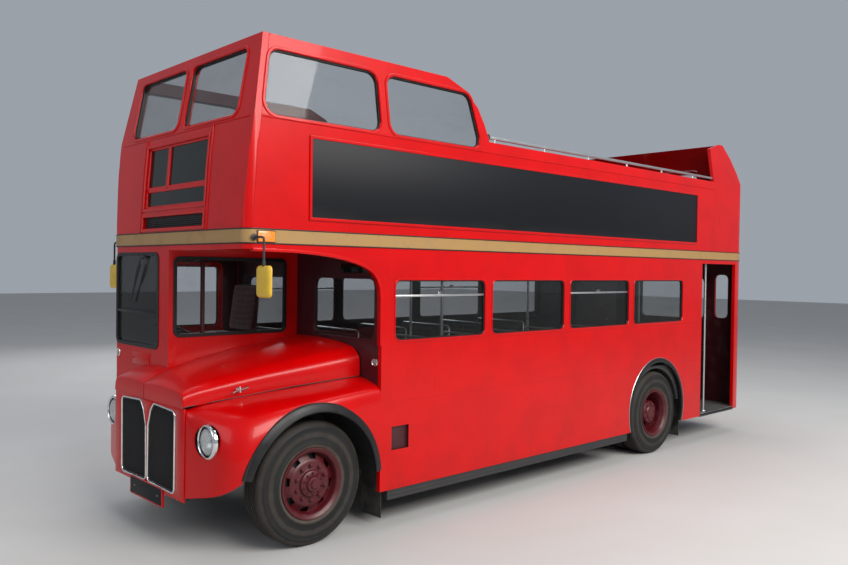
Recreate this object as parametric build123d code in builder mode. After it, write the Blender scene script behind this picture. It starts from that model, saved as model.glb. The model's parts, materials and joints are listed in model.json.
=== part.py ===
"""Half-cab double decker bus with an open upper deck and an open rear platform.

X runs forward, Y to the nearside and Z up from the road, in millimetres. The origin lies on the
road under the middle of the bus, which is on the centreline and halfway along its length.
"""
import os
from math import atan2, cos, pi, radians, sin

from build123d import *

os.makedirs("parts", exist_ok=True)

# Driving dimensions
LENGTH = 8382
WHEELBASE = 5131
FRONT_OVERHANG = 900
HALF_WIDTH = 1215
TYRE_RADIUS = 508
FRONT_AXLE = LENGTH / 2 - FRONT_OVERHANG
REAR_AXLE = FRONT_AXLE - WHEELBASE
NOSE = LENGTH / 2
TAIL = -LENGTH / 2 + 25
AXLE_Z = TYRE_RADIUS

# Heights
SKIRT_Z = 340
PLATFORM_Z = 370
SALOON_Z = 660
CAB_FLOOR_Z = 1215
DECK_UNDER_Z = 2434
DECK_Z = 2490
BAND_TOP_Z = 2545
RAIL_WALL_Z = 3495
SCREEN_TOP_Z = 4050
WAIST_Z = 1632
HEAD_Z = 2160

# Walls and the places of the cross walls
WALL = 45
FRONT_WALL = 60
CAB_WALL = 30
FLOOR_PLATE = 40
INNER_Y = HALF_WIDTH - WALL
BULKHEAD_X = FRONT_AXLE - 634
CAB_FRONT_X = FRONT_AXLE + 680
UPPER_FRONT_X = FRONT_AXLE + 690
PLATFORM_X = FRONT_AXLE - 6217
REAR_POST_X = FRONT_AXLE - 7159
QUARTER_X = FRONT_AXLE - 6520
CAB_INNER_Y = -60

# Saloon windows, one to a bay
BAY = 1257
WINDOW_COUNT = 4
WINDOW_WIDTH = 1150
FIRST_WINDOW_X = FRONT_AXLE - 1363
WINDOW_CORNER = 60

# Wheels and the arches over them
TYRE_WIDTH = 255
RIM_RADIUS = 262
FRONT_TYRE_Y = 1000
REAR_OUTER_Y = 1055
REAR_INNER_Y = 765
FRONT_ARCH_R = 660
REAR_ARCH_R = 630
REAR_ARCH_Z = 560
KINGPIN_Y = 800
ARCH_FACETS = 36


def finish(part, name):
    """Label one sub-part and write its STEP file."""
    part.label = name
    export_step(part, f"parts/{name}.step")


def box_between(x, y, z):
    """Plain block between two limits on each axis."""
    block = Box(x[1] - x[0], y[1] - y[0], z[1] - z[0], mode=Mode.PRIVATE)
    return Pos((x[0] + x[1]) / 2, (y[0] + y[1]) / 2, (z[0] + z[1]) / 2) * block


def prism_y(points, y):
    """Solid of a side view outline of (x, z) points, between two y limits."""
    with BuildPart(mode=Mode.PRIVATE) as prism:
        with BuildSketch(Plane.XZ.offset(-y[1])):
            with BuildLine():
                Polyline(*points, close=True)
            make_face()
        extrude(amount=y[1] - y[0])
    return prism.part


CORNER_FLATS = 2


def softened(points, radius, flats=CORNER_FLATS):
    """Convex outline whose corners are rounded by a few short flats."""
    outline = []
    for index, (x, y) in enumerate(points):
        before = points[index - 1]
        after = points[(index + 1) % len(points)]
        run_in = atan2(before[1] - y, before[0] - x)
        run_out = atan2(after[1] - y, after[0] - x)
        opening = (run_out - run_in) % (2 * pi)
        turning = 1 if opening > pi else -1
        half = min(opening, 2 * pi - opening) / 2
        bisector = run_in - turning * half
        centre_x = x + radius / sin(half) * cos(bisector)
        centre_y = y + radius / sin(half) * sin(bisector)
        start = run_in + turning * pi / 2
        for flat in range(flats + 1):
            angle = start + turning * (pi - 2 * half) * flat / flats
            outline.append((centre_x + radius * cos(angle), centre_y + radius * sin(angle)))
    return outline


def rectangle(x, y):
    """Corners of a rectangle between two limits each way."""
    return [(x[0], y[0]), (x[1], y[0]), (x[1], y[1]), (x[0], y[1])]


def rounded_y(x, z, radius, y):
    """Rounded rectangle of the side view, cut or raised between two y limits."""
    return prism_y(softened(rectangle(x, z), radius), y)


def prism_x(points, x):
    """Solid of a front view outline of (y, z) points, between two x limits."""
    with BuildPart(mode=Mode.PRIVATE) as prism:
        with BuildSketch(Plane.YZ.offset(x[0])):
            with BuildLine():
                Polyline(*points, close=True)
            make_face()
        extrude(amount=x[1] - x[0])
    return prism.part


def rounded_x(y, z, radius, x):
    """Rounded rectangle of the front view, between two x limits."""
    return prism_x(softened(rectangle(y, z), radius), x)


BAR_FACETS = 12
POLE_FACETS = 6


def stacked(rings, flat=True):
    """Closed solid of flat facets through a stack of rings with equal numbers of points."""
    faces = [Face(Wire.make_polygon(rings[0])), Face(Wire.make_polygon(rings[-1]))]
    for ring, following in zip(rings, rings[1:]):
        for index, corner in enumerate(ring):
            after = (index + 1) % len(ring)
            if flat:
                patches = [[corner, ring[after], following[after], following[index]]]
            else:
                patches = [
                    [corner, ring[after], following[after]],
                    [corner, following[after], following[index]],
                ]
            faces.extend(Face(Wire.make_polygon(patch)) for patch in patches)
    return Solid(Shell(faces)).fix()


def faceted(plane, sections, facets):
    """Round solid of flat facets, through sections of (distance along the plane's normal, radius)."""
    rings = []
    for distance, radius in sections:
        corner_r = radius / cos(pi / facets)
        angles = [pi * (2 * facet + 1) / facets for facet in range(facets)]
        ring = [(corner_r * cos(angle), corner_r * sin(angle), distance) for angle in angles]
        rings.append([plane.from_local_coords(point) for point in ring])
    return stacked(rings)


def axle_plane(x, side, y):
    """Plane across an axle at a distance from the centreline, facing outward."""
    return Plane(origin=(x, side * y, AXLE_Z), x_dir=(1, 0, 0), z_dir=(0, side, 0))


# Body envelope
# The front leans back above the band, and the tail curves forward above the window line.
# Each point of the front is (x from the front, z).
FRONT_PROFILE = [(0, 0), (0, BAND_TOP_Z), (-35, 3120), (-65, 3400), (-188, SCREEN_TOP_Z)]
TAIL_CURVE_Z = 2900
TAIL_CURVE_R = 1453
TAIL_FLAT_ZS = (3040, 3156, 3330, 3500, 3680, 3870)
TUMBLE_Z = 3400
TUMBLE_TOP_Y = 1120
FRONT_CORNER_R = 90
FRONT_FLATS = 4
TAIL_CORNER_R = 230
TAIL_FLATS = 5
FORM_TOP_Z = SCREEN_TOP_Z


def tail_x(z):
    """Place of the tail's face at a height on its forward curve."""
    return TAIL + TAIL_CURVE_R - (TAIL_CURVE_R**2 - (z - TAIL_CURVE_Z) ** 2) ** 0.5


def envelope(inset, z_low, z_high, front_inset=None):
    """Outer form of the body between two heights, moved inward by the inset."""
    ahead = inset if front_inset is None else front_inset
    front = UPPER_FRONT_X - ahead
    plan = rectangle((TAIL + inset, front), (inset - HALF_WIDTH, HALF_WIDTH - inset))
    front_corners = softened(plan, max(FRONT_CORNER_R - inset, 20), FRONT_FLATS)
    tail_corners = softened(plan, TAIL_CORNER_R - inset, TAIL_FLATS)
    front_points = 2 * (FRONT_FLATS + 1)
    tail_curve = [(tail_x(z) + inset, z) for z in (FORM_TOP_Z, *TAIL_FLAT_ZS[::-1])]
    with BuildPart(mode=Mode.PRIVATE) as form:
        with BuildSketch(Plane.XY.offset(z_low)):
            with BuildLine():
                Polyline(
                    *tail_corners[: TAIL_FLATS + 1],
                    *front_corners[front_points // 2 : front_points // 2 * 3],
                    *tail_corners[-TAIL_FLATS - 1 :],
                    close=True,
                )
            make_face()
        extrude(amount=z_high - z_low)
        with BuildSketch(Plane.XZ.offset(-2000)):
            with BuildLine():
                Polyline(
                    (TAIL + inset, TAIL_CURVE_Z),
                    (TAIL + inset, 0),
                    *[(front + back, z) for back, z in FRONT_PROFILE],
                    *tail_curve,
                    close=True,
                )
            make_face()
        extrude(amount=4000, mode=Mode.INTERSECT)
        with BuildSketch(Plane.YZ.offset(TAIL - 10)):
            with BuildLine():
                lower = HALF_WIDTH - inset
                upper = TUMBLE_TOP_Y - inset
                Polyline(
                    (-lower, 0),
                    (lower, 0),
                    (lower, TUMBLE_Z),
                    (upper, FORM_TOP_Z),
                    (-upper, FORM_TOP_Z),
                    (-lower, TUMBLE_Z),
                    close=True,
                )
            make_face()
        extrude(amount=LENGTH + 20, mode=Mode.INTERSECT)
    return form.part


LOWER_SHELL = envelope(0, SKIRT_Z, DECK_UNDER_Z) - envelope(WALL, SKIRT_Z - 10, DECK_UNDER_Z + 10)
UPPER_SHELL = envelope(0, DECK_UNDER_Z, FORM_TOP_Z)
UPPER_SHELL -= envelope(WALL, DECK_UNDER_Z - 10, FORM_TOP_Z + 10, FRONT_WALL)
FAR = 5000
NEAR_HALF = box_between((-FAR, FAR), (0, 2000), (0, FAR))
OFF_HALF = box_between((-FAR, FAR), (-2000, 0), (0, FAR))

# Saloon sides
# The nearside panel carries the canopy's curved bracket ahead of the bulkhead.
CANOPY_CURVE = [(-634, 2075), (-560, 2230), (-387, 2300), (-178, 2350), (211, 2385), (625, 2391)]
WINDOW_XS = [FIRST_WINDOW_X - BAY * i for i in range(WINDOW_COUNT)]
near_outline = [
    (REAR_POST_X, DECK_UNDER_Z),
    (REAR_POST_X, 2380),
    (PLATFORM_X, 2380),
    (PLATFORM_X, SKIRT_Z),
    (BULKHEAD_X, SKIRT_Z),
    *[(FRONT_AXLE + x, z) for x, z in CANOPY_CURVE],
    (FRONT_AXLE + 630, DECK_UNDER_Z),
]
canopy_lip = envelope(0, 2391, DECK_UNDER_Z) - envelope(WALL, 2300, DECK_Z, FRONT_WALL)
canopy_lip &= box_between((FRONT_AXLE + 630, FAR), (CAB_INNER_Y + 2, 2000), (2300, 2500))
RECESS_X = (FRONT_AXLE - 960, FRONT_AXLE - 761)
RECESS_Z = (684, 887)
RECESS_DEEP = 30
off_outline = [
    (REAR_POST_X, DECK_UNDER_Z),
    (REAR_POST_X, SKIRT_Z),
    (BULKHEAD_X, SKIRT_Z),
    (BULKHEAD_X, DECK_UNDER_Z),
]
for name, half, outline, side in (
    ("near_side", NEAR_HALF, near_outline, 1),
    ("off_side", OFF_HALF, off_outline, -1),
):
    y_span = sorted((side * 900, side * 1400))
    with BuildPart() as lower_side:
        add(LOWER_SHELL)
        add(half, mode=Mode.INTERSECT)
        add(prism_y(outline, y_span), mode=Mode.INTERSECT)
        for centre in WINDOW_XS:
            opening = (centre - WINDOW_WIDTH / 2, centre + WINDOW_WIDTH / 2)
            add(rounded_y(opening, (WAIST_Z, HEAD_Z), WINDOW_CORNER, y_span), mode=Mode.SUBTRACT)
        with BuildSketch(Plane.XZ.offset(-y_span[1])):
            with Locations((REAR_AXLE, REAR_ARCH_Z)):
                RegularPolygon(REAR_ARCH_R, ARCH_FACETS, major_radius=False)
        extrude(amount=y_span[1] - y_span[0], mode=Mode.SUBTRACT)
        if side > 0:
            add(canopy_lip)
            recess = box_between(RECESS_X, (HALF_WIDTH - RECESS_DEEP, HALF_WIDTH + 5), RECESS_Z)
            add(recess, mode=Mode.SUBTRACT)
    finish(lower_side.part, name)

# Rear wall of the platform, with the corner posts
REAR_WINDOWS = [(-430, 620, 1580, 2180), (790, 990, 1600, 2230)]  # (y low, y high, z low, z high)
with BuildPart() as lower_rear:
    add(LOWER_SHELL)
    add(box_between((-FAR, REAR_POST_X), (-2000, 2000), (0, FAR)), mode=Mode.INTERSECT)
    for y_low, y_high, z_low, z_high in REAR_WINDOWS:
        opening = rounded_x((y_low, y_high), (z_low, z_high), WINDOW_CORNER, (TAIL - 50, TAIL + 200))
        add(opening, mode=Mode.SUBTRACT)
finish(lower_rear.part, "lower_rear")

# Bulkhead behind the engine and the cab
BULKHEAD_THICK = 40
BULKHEAD_WINDOWS = [(230, 1110), (-1080, -230)]  # (y low, y high)
with BuildPart() as bulkhead:
    wall_x = (BULKHEAD_X - BULKHEAD_THICK, BULKHEAD_X)
    add(box_between(wall_x, (-INNER_Y, INNER_Y), (SALOON_Z, DECK_UNDER_Z)))
    for y_span in BULKHEAD_WINDOWS:
        add(
            rounded_x(y_span, (1640, 2165), WINDOW_CORNER, (BULKHEAD_X - 100, BULKHEAD_X + 50)),
            mode=Mode.SUBTRACT,
        )
finish(bulkhead.part, "bulkhead")

# Saloon floor with its boxes over the rear wheels
BOX_TOP_Z = 1085
BOX_HALF = 590
BOX_ARCH_R = 550
BOX_INNER_Y = 570
FLOOR_Z = (SALOON_Z - FLOOR_PLATE, SALOON_Z)
with BuildPart() as saloon_floor:
    add(box_between((PLATFORM_X, BULKHEAD_X), (-INNER_Y, INNER_Y), FLOOR_Z))
    for side in (1, -1):
        y_span = sorted((side * BOX_INNER_Y, side * INNER_Y))
        add(box_between((REAR_AXLE - BOX_HALF, REAR_AXLE + BOX_HALF), y_span, (FLOOR_Z[0], BOX_TOP_Z)))
        hollow_span = sorted((side * (BOX_INNER_Y + 20), side * (INNER_Y + 5)))
        with BuildSketch(Plane.XZ.offset(-hollow_span[1])):
            with Locations((REAR_AXLE, AXLE_Z)):
                RegularPolygon(BOX_ARCH_R, ARCH_FACETS, major_radius=False)
        extrude(amount=hollow_span[1] - hollow_span[0], mode=Mode.SUBTRACT)
finish(saloon_floor.part, "saloon_floor")

# Rear platform with its step up to the saloon
with BuildPart() as platform:
    add(envelope(WALL, PLATFORM_Z - 40, PLATFORM_Z))
    add(box_between((-FAR, PLATFORM_X), (-2000, 2000), (0, FAR)), mode=Mode.INTERSECT)
    add(box_between((REAR_POST_X, PLATFORM_X), (INNER_Y - 5, HALF_WIDTH), (PLATFORM_Z - 40, PLATFORM_Z)))
    add(box_between((PLATFORM_X - 25, PLATFORM_X), (-INNER_Y, INNER_Y), (PLATFORM_Z - 5, SALOON_Z)))
finish(platform.part, "platform")

# Upper deck floor with the stairwell
NEWEL_X = FRONT_AXLE - 6750
NEWEL_Y = -500
STAIR_HEAD_X = FRONT_AXLE - 5750
STAIR_OUTER_Y = -INNER_Y + 2
with BuildPart() as deck_floor:
    add(envelope(WALL, DECK_UNDER_Z, DECK_Z, FRONT_WALL))
    well_x = (NEWEL_X - 640, STAIR_HEAD_X)
    well = box_between(well_x, (-INNER_Y - 20, NEWEL_Y), (DECK_UNDER_Z - 10, DECK_Z + 10))
    add(well, mode=Mode.SUBTRACT)
finish(deck_floor.part, "deck_floor")

# Staircase: winders round the newel, then straight treads forward to the upper deck
RISERS = 9
WINDERS = 3
STRAIGHT = 5
RISE = (DECK_Z - PLATFORM_Z) / RISERS
GOING = (STAIR_HEAD_X - NEWEL_X) / STRAIGHT
STEP_PLATE = 30
WINDER_R = 640
WINDER_TURN = 90 / WINDERS
PARTITION = 25
ALCOVE = ((NEWEL_X + 60, PLATFORM_X - 80), (PLATFORM_Z + 70, PLATFORM_Z + 840))  # (x limits, z limits)
with BuildPart() as staircase:
    for step in range(WINDERS):
        angles = [radians(180 + WINDER_TURN * (step + part)) for part in (0, 0.5, 1)]
        rim = [(NEWEL_X + WINDER_R * cos(angle), NEWEL_Y + WINDER_R * sin(angle)) for angle in angles]
        with BuildSketch(Plane.XY.offset(PLATFORM_Z)):
            with BuildLine():
                Line((NEWEL_X, NEWEL_Y), rim[0])
                ThreePointArc(*rim)
                Line(rim[2], (NEWEL_X, NEWEL_Y))
            make_face()
        extrude(amount=RISE * (step + 1))
    for step in range(STRAIGHT):
        top = PLATFORM_Z + RISE * (WINDERS + step + 1)
        x_low = NEWEL_X + GOING * step
        y_span = (STAIR_OUTER_Y, NEWEL_Y)
        add(box_between((x_low, x_low + GOING), y_span, (top - STEP_PLATE, top)))
        add(box_between((x_low, x_low + STEP_PLATE), y_span, (top - RISE - STEP_PLATE, top)))
    wall_y = (NEWEL_Y - 2, NEWEL_Y + PARTITION)
    add(box_between((PLATFORM_X, STAIR_HEAD_X), wall_y, (SALOON_Z, DECK_UNDER_Z)))
    add(box_between((NEWEL_X - PARTITION, PLATFORM_X - PARTITION), wall_y, (PLATFORM_Z, DECK_UNDER_Z)))
    add(box_between((PLATFORM_X - PARTITION, PLATFORM_X), wall_y, (SALOON_Z, DECK_UNDER_Z)))
    end_x = (STAIR_HEAD_X - PARTITION, STAIR_HEAD_X)
    add(box_between(end_x, (STAIR_OUTER_Y, NEWEL_Y), (SALOON_Z, DECK_UNDER_Z)))
    add(rounded_y(*ALCOVE, 36, (NEWEL_Y - 10, NEWEL_Y + 50)), mode=Mode.SUBTRACT)
finish(staircase.part, "staircase")

# Upper side panels with the forward screens
SCREEN_REAR = [(-1478, SCREEN_TOP_Z), (-1707, 3962), (-1863, 3810), (-1937, 3652), (-1983, RAIL_WALL_Z)]
SCREEN_CORNER = 100
SCREEN_WINDOWS = [
    [(-615, 3412), (548, 3412), (449, 3935), (-615, 3935)],
    [(-1870, 3412), (-715, 3412), (-715, 3935), (-1760, 3935)],
]  # corners as (x from the front axle, z)


def screen_opening(corners, y):
    """Opening of one forward screen, with round corners, between two y limits."""
    outline = [(FRONT_AXLE + x, z) for x, z in corners]
    return prism_y(softened(outline, SCREEN_CORNER), y)


FRONT_ZONE = [(UPPER_FRONT_X + back - FRONT_WALL, z) for back, z in FRONT_PROFILE]
upper_outline = [
    (QUARTER_X, DECK_UNDER_Z),
    (FRONT_ZONE[1][0], DECK_UNDER_Z),
    *FRONT_ZONE[1:4],
    FRONT_ZONE[4],
    *[(FRONT_AXLE + x, z) for x, z in SCREEN_REAR],
    (QUARTER_X, RAIL_WALL_Z),
]
for name, half, side in (("near_upper_side", NEAR_HALF, 1), ("off_upper_side", OFF_HALF, -1)):
    y_span = sorted((side * 900, side * 1400))
    with BuildPart() as upper_side:
        add(UPPER_SHELL)
        add(half, mode=Mode.INTERSECT)
        add(prism_y(upper_outline, y_span), mode=Mode.INTERSECT)
        for corners in SCREEN_WINDOWS:
            add(screen_opening(corners, y_span), mode=Mode.SUBTRACT)
    finish(upper_side.part, name)

BLIND_Y = 560
BLIND_Z = (2760, 3310)
VENT_Z = (2580, 2690)


def front_layer(deep, shallow, y, z):
    """Layer of the leaning front wall between two depths behind its face, within y and z limits."""
    back_line = [(UPPER_FRONT_X + back - deep, level) for back, level in FRONT_PROFILE]
    face_line = [(UPPER_FRONT_X + back - shallow, level) for back, level in FRONT_PROFILE]
    layer = prism_y(back_line + face_line[::-1], y)
    return layer & box_between((0, FAR), y, z)


# Upper front wall with its two windows and the recess for the blinds
FRONT_WINDOW_Y = (50, 950)
FRONT_WINDOW_Z = (3430, 3960)
with BuildPart() as upper_front:
    add(UPPER_SHELL)
    front_region = [
        (FRONT_ZONE[1][0], DECK_UNDER_Z - 10),
        *FRONT_ZONE[1:4],
        FRONT_ZONE[4],
        (UPPER_FRONT_X + 50, SCREEN_TOP_Z),
        (UPPER_FRONT_X + 50, DECK_UNDER_Z - 10),
    ]
    add(prism_y(front_region, (-1400, 1400)), mode=Mode.INTERSECT)
    for side in (1, -1):
        y_span = sorted((side * FRONT_WINDOW_Y[0], side * FRONT_WINDOW_Y[1]))
        add(rounded_x(y_span, FRONT_WINDOW_Z, 70, (FRONT_AXLE, FRONT_AXLE + 900)), mode=Mode.SUBTRACT)
    for z_low, z_high in (BLIND_Z, VENT_Z):
        add(front_layer(40, -20, (-BLIND_Y, BLIND_Y), (z_low, z_high)), mode=Mode.SUBTRACT)
finish(upper_front.part, "upper_front")

# Rear quarters and wall of the upper deck, with the emergency exit cut out
EXIT_Y = 640
EXIT_Z = (3150, 3760)
EXIT_HINGE = (tail_x(3156), 3156)  # (x, z) of the pin
EXIT_HINGE_R = 10
EXIT_BARREL = 90
EXIT_BARREL_YS = (-400, 400)
with BuildPart() as upper_rear:
    add(UPPER_SHELL)
    quarter_outline = [
        (TAIL - 50, DECK_UNDER_Z),
        (QUARTER_X, DECK_UNDER_Z),
        (QUARTER_X, 3950),
        (FRONT_AXLE - 6806, 4040),
        (TAIL - 50, 4040),
    ]
    add(prism_y(quarter_outline, (-1400, 1400)), mode=Mode.INTERSECT)
    add(rounded_x((-EXIT_Y, EXIT_Y), EXIT_Z, 70, (TAIL - 50, TAIL + 500)), mode=Mode.SUBTRACT)
    for y in EXIT_BARREL_YS:
        notch_y = (y - EXIT_BARREL / 2 - 6, y + EXIT_BARREL / 2 + 6)
        notch_z = (EXIT_HINGE[1] - 16, EXIT_HINGE[1])
        notch = box_between((TAIL - 50, EXIT_HINGE[0] + 18), notch_y, notch_z)
        add(notch, mode=Mode.SUBTRACT)
finish(upper_rear.part, "upper_rear")

# Emergency exit in the upper rear wall, hinged along its foot, with its pane
EXIT_GAP = 6
EXIT_FRAME = 55
with BuildPart() as emergency_exit:
    add(UPPER_SHELL)
    add(
        rounded_x(
            (-EXIT_Y + EXIT_GAP, EXIT_Y - EXIT_GAP),
            (EXIT_Z[0] + EXIT_GAP, EXIT_Z[1] - EXIT_GAP),
            66,
            (TAIL - 50, TAIL + 500),
        ),
        mode=Mode.INTERSECT,
    )
    add(
        rounded_x(
            (-EXIT_Y + EXIT_FRAME, EXIT_Y - EXIT_FRAME),
            (EXIT_Z[0] + EXIT_FRAME, EXIT_Z[1] - EXIT_FRAME),
            50,
            (TAIL - 50, TAIL + 500),
        ),
        mode=Mode.SUBTRACT,
    )
    for y in EXIT_BARREL_YS:
        with BuildSketch(Plane.XZ.offset(-y - EXIT_BARREL / 2)):
            with Locations(EXIT_HINGE):
                Circle(EXIT_HINGE_R)
        extrude(amount=EXIT_BARREL)
finish(emergency_exit.part, "emergency_exit")

PANE = 6
PANE_SHELL = envelope(WALL / 2 - PANE / 2, DECK_UNDER_Z, FORM_TOP_Z)
PANE_SHELL -= envelope(WALL / 2 + PANE / 2, DECK_UNDER_Z - 10, FORM_TOP_Z + 10)
with BuildPart() as exit_pane:
    add(PANE_SHELL)
    add(
        rounded_x(
            (-EXIT_Y + EXIT_FRAME, EXIT_Y - EXIT_FRAME),
            (EXIT_Z[0] + EXIT_FRAME, EXIT_Z[1] - EXIT_FRAME),
            50,
            (TAIL - 50, TAIL + 500),
        ),
        mode=Mode.INTERSECT,
    )
finish(exit_pane.part, "exit_pane")

# Front wings: a tapering form under a sloping top, cut by the wheel arch
# Each station is (ahead of the axle, top inner y, top inner z, crease y, crease z).
WING_STATIONS = [
    (-634, 930, 1300, 1205, 1238),
    (180, 785, 1230, 1205, 1195),
    (700, 690, 1165, 1115, 1075),
    (885, 640, 1140, 1050, 1030),
]
WING_INNER_Y = 560
WING_FRONT_X = FRONT_AXLE + 868


def wing_form(gap=0):
    """Solid form of the nearside wing, grown by a gap where something has to clear it."""
    outer_y = HALF_WIDTH + 40
    rings = []
    for x, inner_y, inner_z, crease_y, crease_z in WING_STATIONS:
        ring = [
            (WING_INNER_Y - gap, 380),
            (WING_INNER_Y - gap, inner_z + gap),
            (inner_y, inner_z + gap),
            (crease_y, crease_z + gap),
            (outer_y, crease_z - 60 + gap),
            (outer_y, 380),
        ]
        rings.append([Vector(FRONT_AXLE + x, y, z) for y, z in ring])
    plan = [
        (BULKHEAD_X, WING_INNER_Y - gap),
        (BULKHEAD_X, HALF_WIDTH - 5 + gap),
        (FRONT_AXLE + 620, HALF_WIDTH - 5 + gap),
        (FRONT_AXLE + 698, HALF_WIDTH - 28 + gap),
        (FRONT_AXLE + 760 + gap, HALF_WIDTH - 85),
        (FRONT_AXLE + 790 + gap, HALF_WIDTH - 165),
        (FRONT_AXLE + 806 + gap, 900),
        (WING_FRONT_X + gap, 655),
        (WING_FRONT_X + gap, WING_INNER_Y - gap),
    ]
    with BuildPart(mode=Mode.PRIVATE) as form:
        add(stacked(rings, flat=False))
        with BuildSketch(Plane.XY.offset(300)):
            with BuildLine():
                Polyline(*plan, close=True)
            make_face()
        extrude(amount=1200, mode=Mode.INTERSECT)
    return form.part


WING_ARCH_X = FRONT_AXLE + 20
WING_ARCH_Z = 505
LAMP_X = FRONT_AXLE + 806
LAMP_Y = 878
LAMP_Z = 918
LAMP_BODY_R = 125
LAMP_RING_R = 140
LAMP_FACETS = 16
CAB_SILL_X = FRONT_AXLE + 590
WING_LOWER_CUT = [
    (FRONT_AXLE + 500, 300),
    (FRONT_AXLE + 500, 690),
    (FRONT_AXLE + 680, 650),
    (WING_FRONT_X + 5, 440),
    (WING_FRONT_X + 5, 300),
]
wing_solid = wing_form()
for name, side in (("near_wing", 1), ("off_wing", -1)):
    y_span = sorted((side * 400, side * 1400))
    with BuildPart() as wing:
        add(wing_solid if side > 0 else mirror(wing_solid, about=Plane.XZ, mode=Mode.PRIVATE))
        with BuildSketch(Plane.XZ.offset(-y_span[1])):
            with Locations((WING_ARCH_X, WING_ARCH_Z)):
                RegularPolygon(FRONT_ARCH_R, ARCH_FACETS, major_radius=False)
        extrude(amount=y_span[1] - y_span[0], mode=Mode.SUBTRACT)
        add(prism_y(WING_LOWER_CUT, y_span), mode=Mode.SUBTRACT)
        add(box_between((BULKHEAD_X - 5, FRONT_AXLE), y_span, (300, 600)), mode=Mode.SUBTRACT)
        if side < 0:
            under_cab = box_between((BULKHEAD_X - 5, CAB_SILL_X), y_span, (CAB_FLOOR_Z - 30, 1500))
            add(under_cab, mode=Mode.SUBTRACT)
        with BuildSketch(Plane.YZ.offset(LAMP_X - 62)):
            with Locations((side * LAMP_Y, LAMP_Z)):
                RegularPolygon(LAMP_BODY_R, LAMP_FACETS, major_radius=False)
        extrude(amount=200, mode=Mode.SUBTRACT)
        with BuildSketch(Plane.YZ.offset(LAMP_X - 16)):
            with Locations((side * LAMP_Y, LAMP_Z)):
                RegularPolygon(LAMP_RING_R + 2, LAMP_FACETS, major_radius=False)
        extrude(amount=200, mode=Mode.SUBTRACT)
    finish(wing.part, name)

# Bonnet: one lofted form, of which the nearside half opens and the nose ahead of the cab is fixed
# Each station is (ahead of the axle, inner edge z, crown, shoulder, corner, foot).
# The last four are (y, z).
BONNET_EDGE_Y = -50
BONNET_FLANGE = 60
BONNET_STATIONS = [
    (-625, 1612, (400, 1602), (809, 1567), (915, 1512), (928, 1308)),
    (200, 1488, (330, 1480), (690, 1432), (782, 1385), (793, 1238)),
    (780, 1330, (260, 1362), (570, 1318), (655, 1270), (665, 1168)),
    (885, 1262, (250, 1285), (560, 1245), (636, 1210), (646, 1152)),
]


def bonnet_form(inset=0):
    """Closed form of the bonnet, moved inward by the inset with its foot left open."""
    rings = []
    for index, (x, edge_z, crown, shoulder, corner, foot) in enumerate(BONNET_STATIONS):
        nose_inset = inset if index == len(BONNET_STATIONS) - 1 else 0
        tail_inset = 10 if inset and index == 0 else 0
        station = FRONT_AXLE + x - nose_inset - tail_inset
        ring = [
            (BONNET_EDGE_Y + inset, edge_z - inset),
            (crown[0], crown[1] - inset),
            (shoulder[0] - inset / 2, shoulder[1] - inset),
            (corner[0] - inset, corner[1] - inset),
            (foot[0] - inset, foot[1] - inset),
            (BONNET_EDGE_Y - inset, foot[1] - inset),
        ]
        if inset:
            ring.append((BONNET_EDGE_Y - inset, edge_z - inset - BONNET_FLANGE))
            ring.append((BONNET_EDGE_Y + inset, edge_z - inset - BONNET_FLANGE - 1))
        rings.append([Vector(station, y, z) for y, z in ring])
    return stacked(rings, flat=False)


BONNET_SKIN = 20
HINGE_POINTS = ((-625, 1616), (200, 1492))  # (ahead of the axle, z) of two points on the hinge pin
HINGE_R = 8
HINGE_BARRELS = (60, 350, 640)  # along the pin from the bulkhead
bonnet_solid = bonnet_form()
hinge_start = Vector(FRONT_AXLE + HINGE_POINTS[0][0], BONNET_EDGE_Y, HINGE_POINTS[0][1])
hinge_end = Vector(FRONT_AXLE + HINGE_POINTS[1][0], BONNET_EDGE_Y, HINGE_POINTS[1][1])
with BuildPart() as bonnet:
    add(bonnet_solid)
    add(bonnet_form(BONNET_SKIN), mode=Mode.SUBTRACT)
    for distance in HINGE_BARRELS:
        with BuildSketch(Plane(origin=hinge_start, z_dir=hinge_end - hinge_start).offset(distance)):
            Circle(HINGE_R)
        extrude(amount=110)
finish(bonnet.part, "bonnet")

# Cowl: the fixed nose ahead of the cab and the front panel round the grille
COWL_X = (FRONT_AXLE + 868, FRONT_AXLE + 888)
COWL_Y = 655
COWL_Z = (415, 1145)
GRILLE_Y = 515
GRILLE_Z = (445, 1115)
with BuildPart() as cowl:
    with BuildSketch(Plane.YZ.offset(COWL_X[0])):
        with Locations((0, (COWL_Z[0] + COWL_Z[1]) / 2)):
            Rectangle(2 * COWL_Y, COWL_Z[1] - COWL_Z[0])
    extrude(amount=COWL_X[1] - COWL_X[0])
    grille_hole = rounded_x((-GRILLE_Y, GRILLE_Y), GRILLE_Z, 70, (COWL_X[0] - 5, COWL_X[1] + 5))
    add(grille_hole, mode=Mode.SUBTRACT)
    add(
        mirror(bonnet_solid, about=Plane.XZ, mode=Mode.PRIVATE)
        & box_between((CAB_FRONT_X + 1, NOSE), (-1000, BONNET_EDGE_Y - 6), (1000, 1600))
    )
finish(cowl.part, "cowl")

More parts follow.
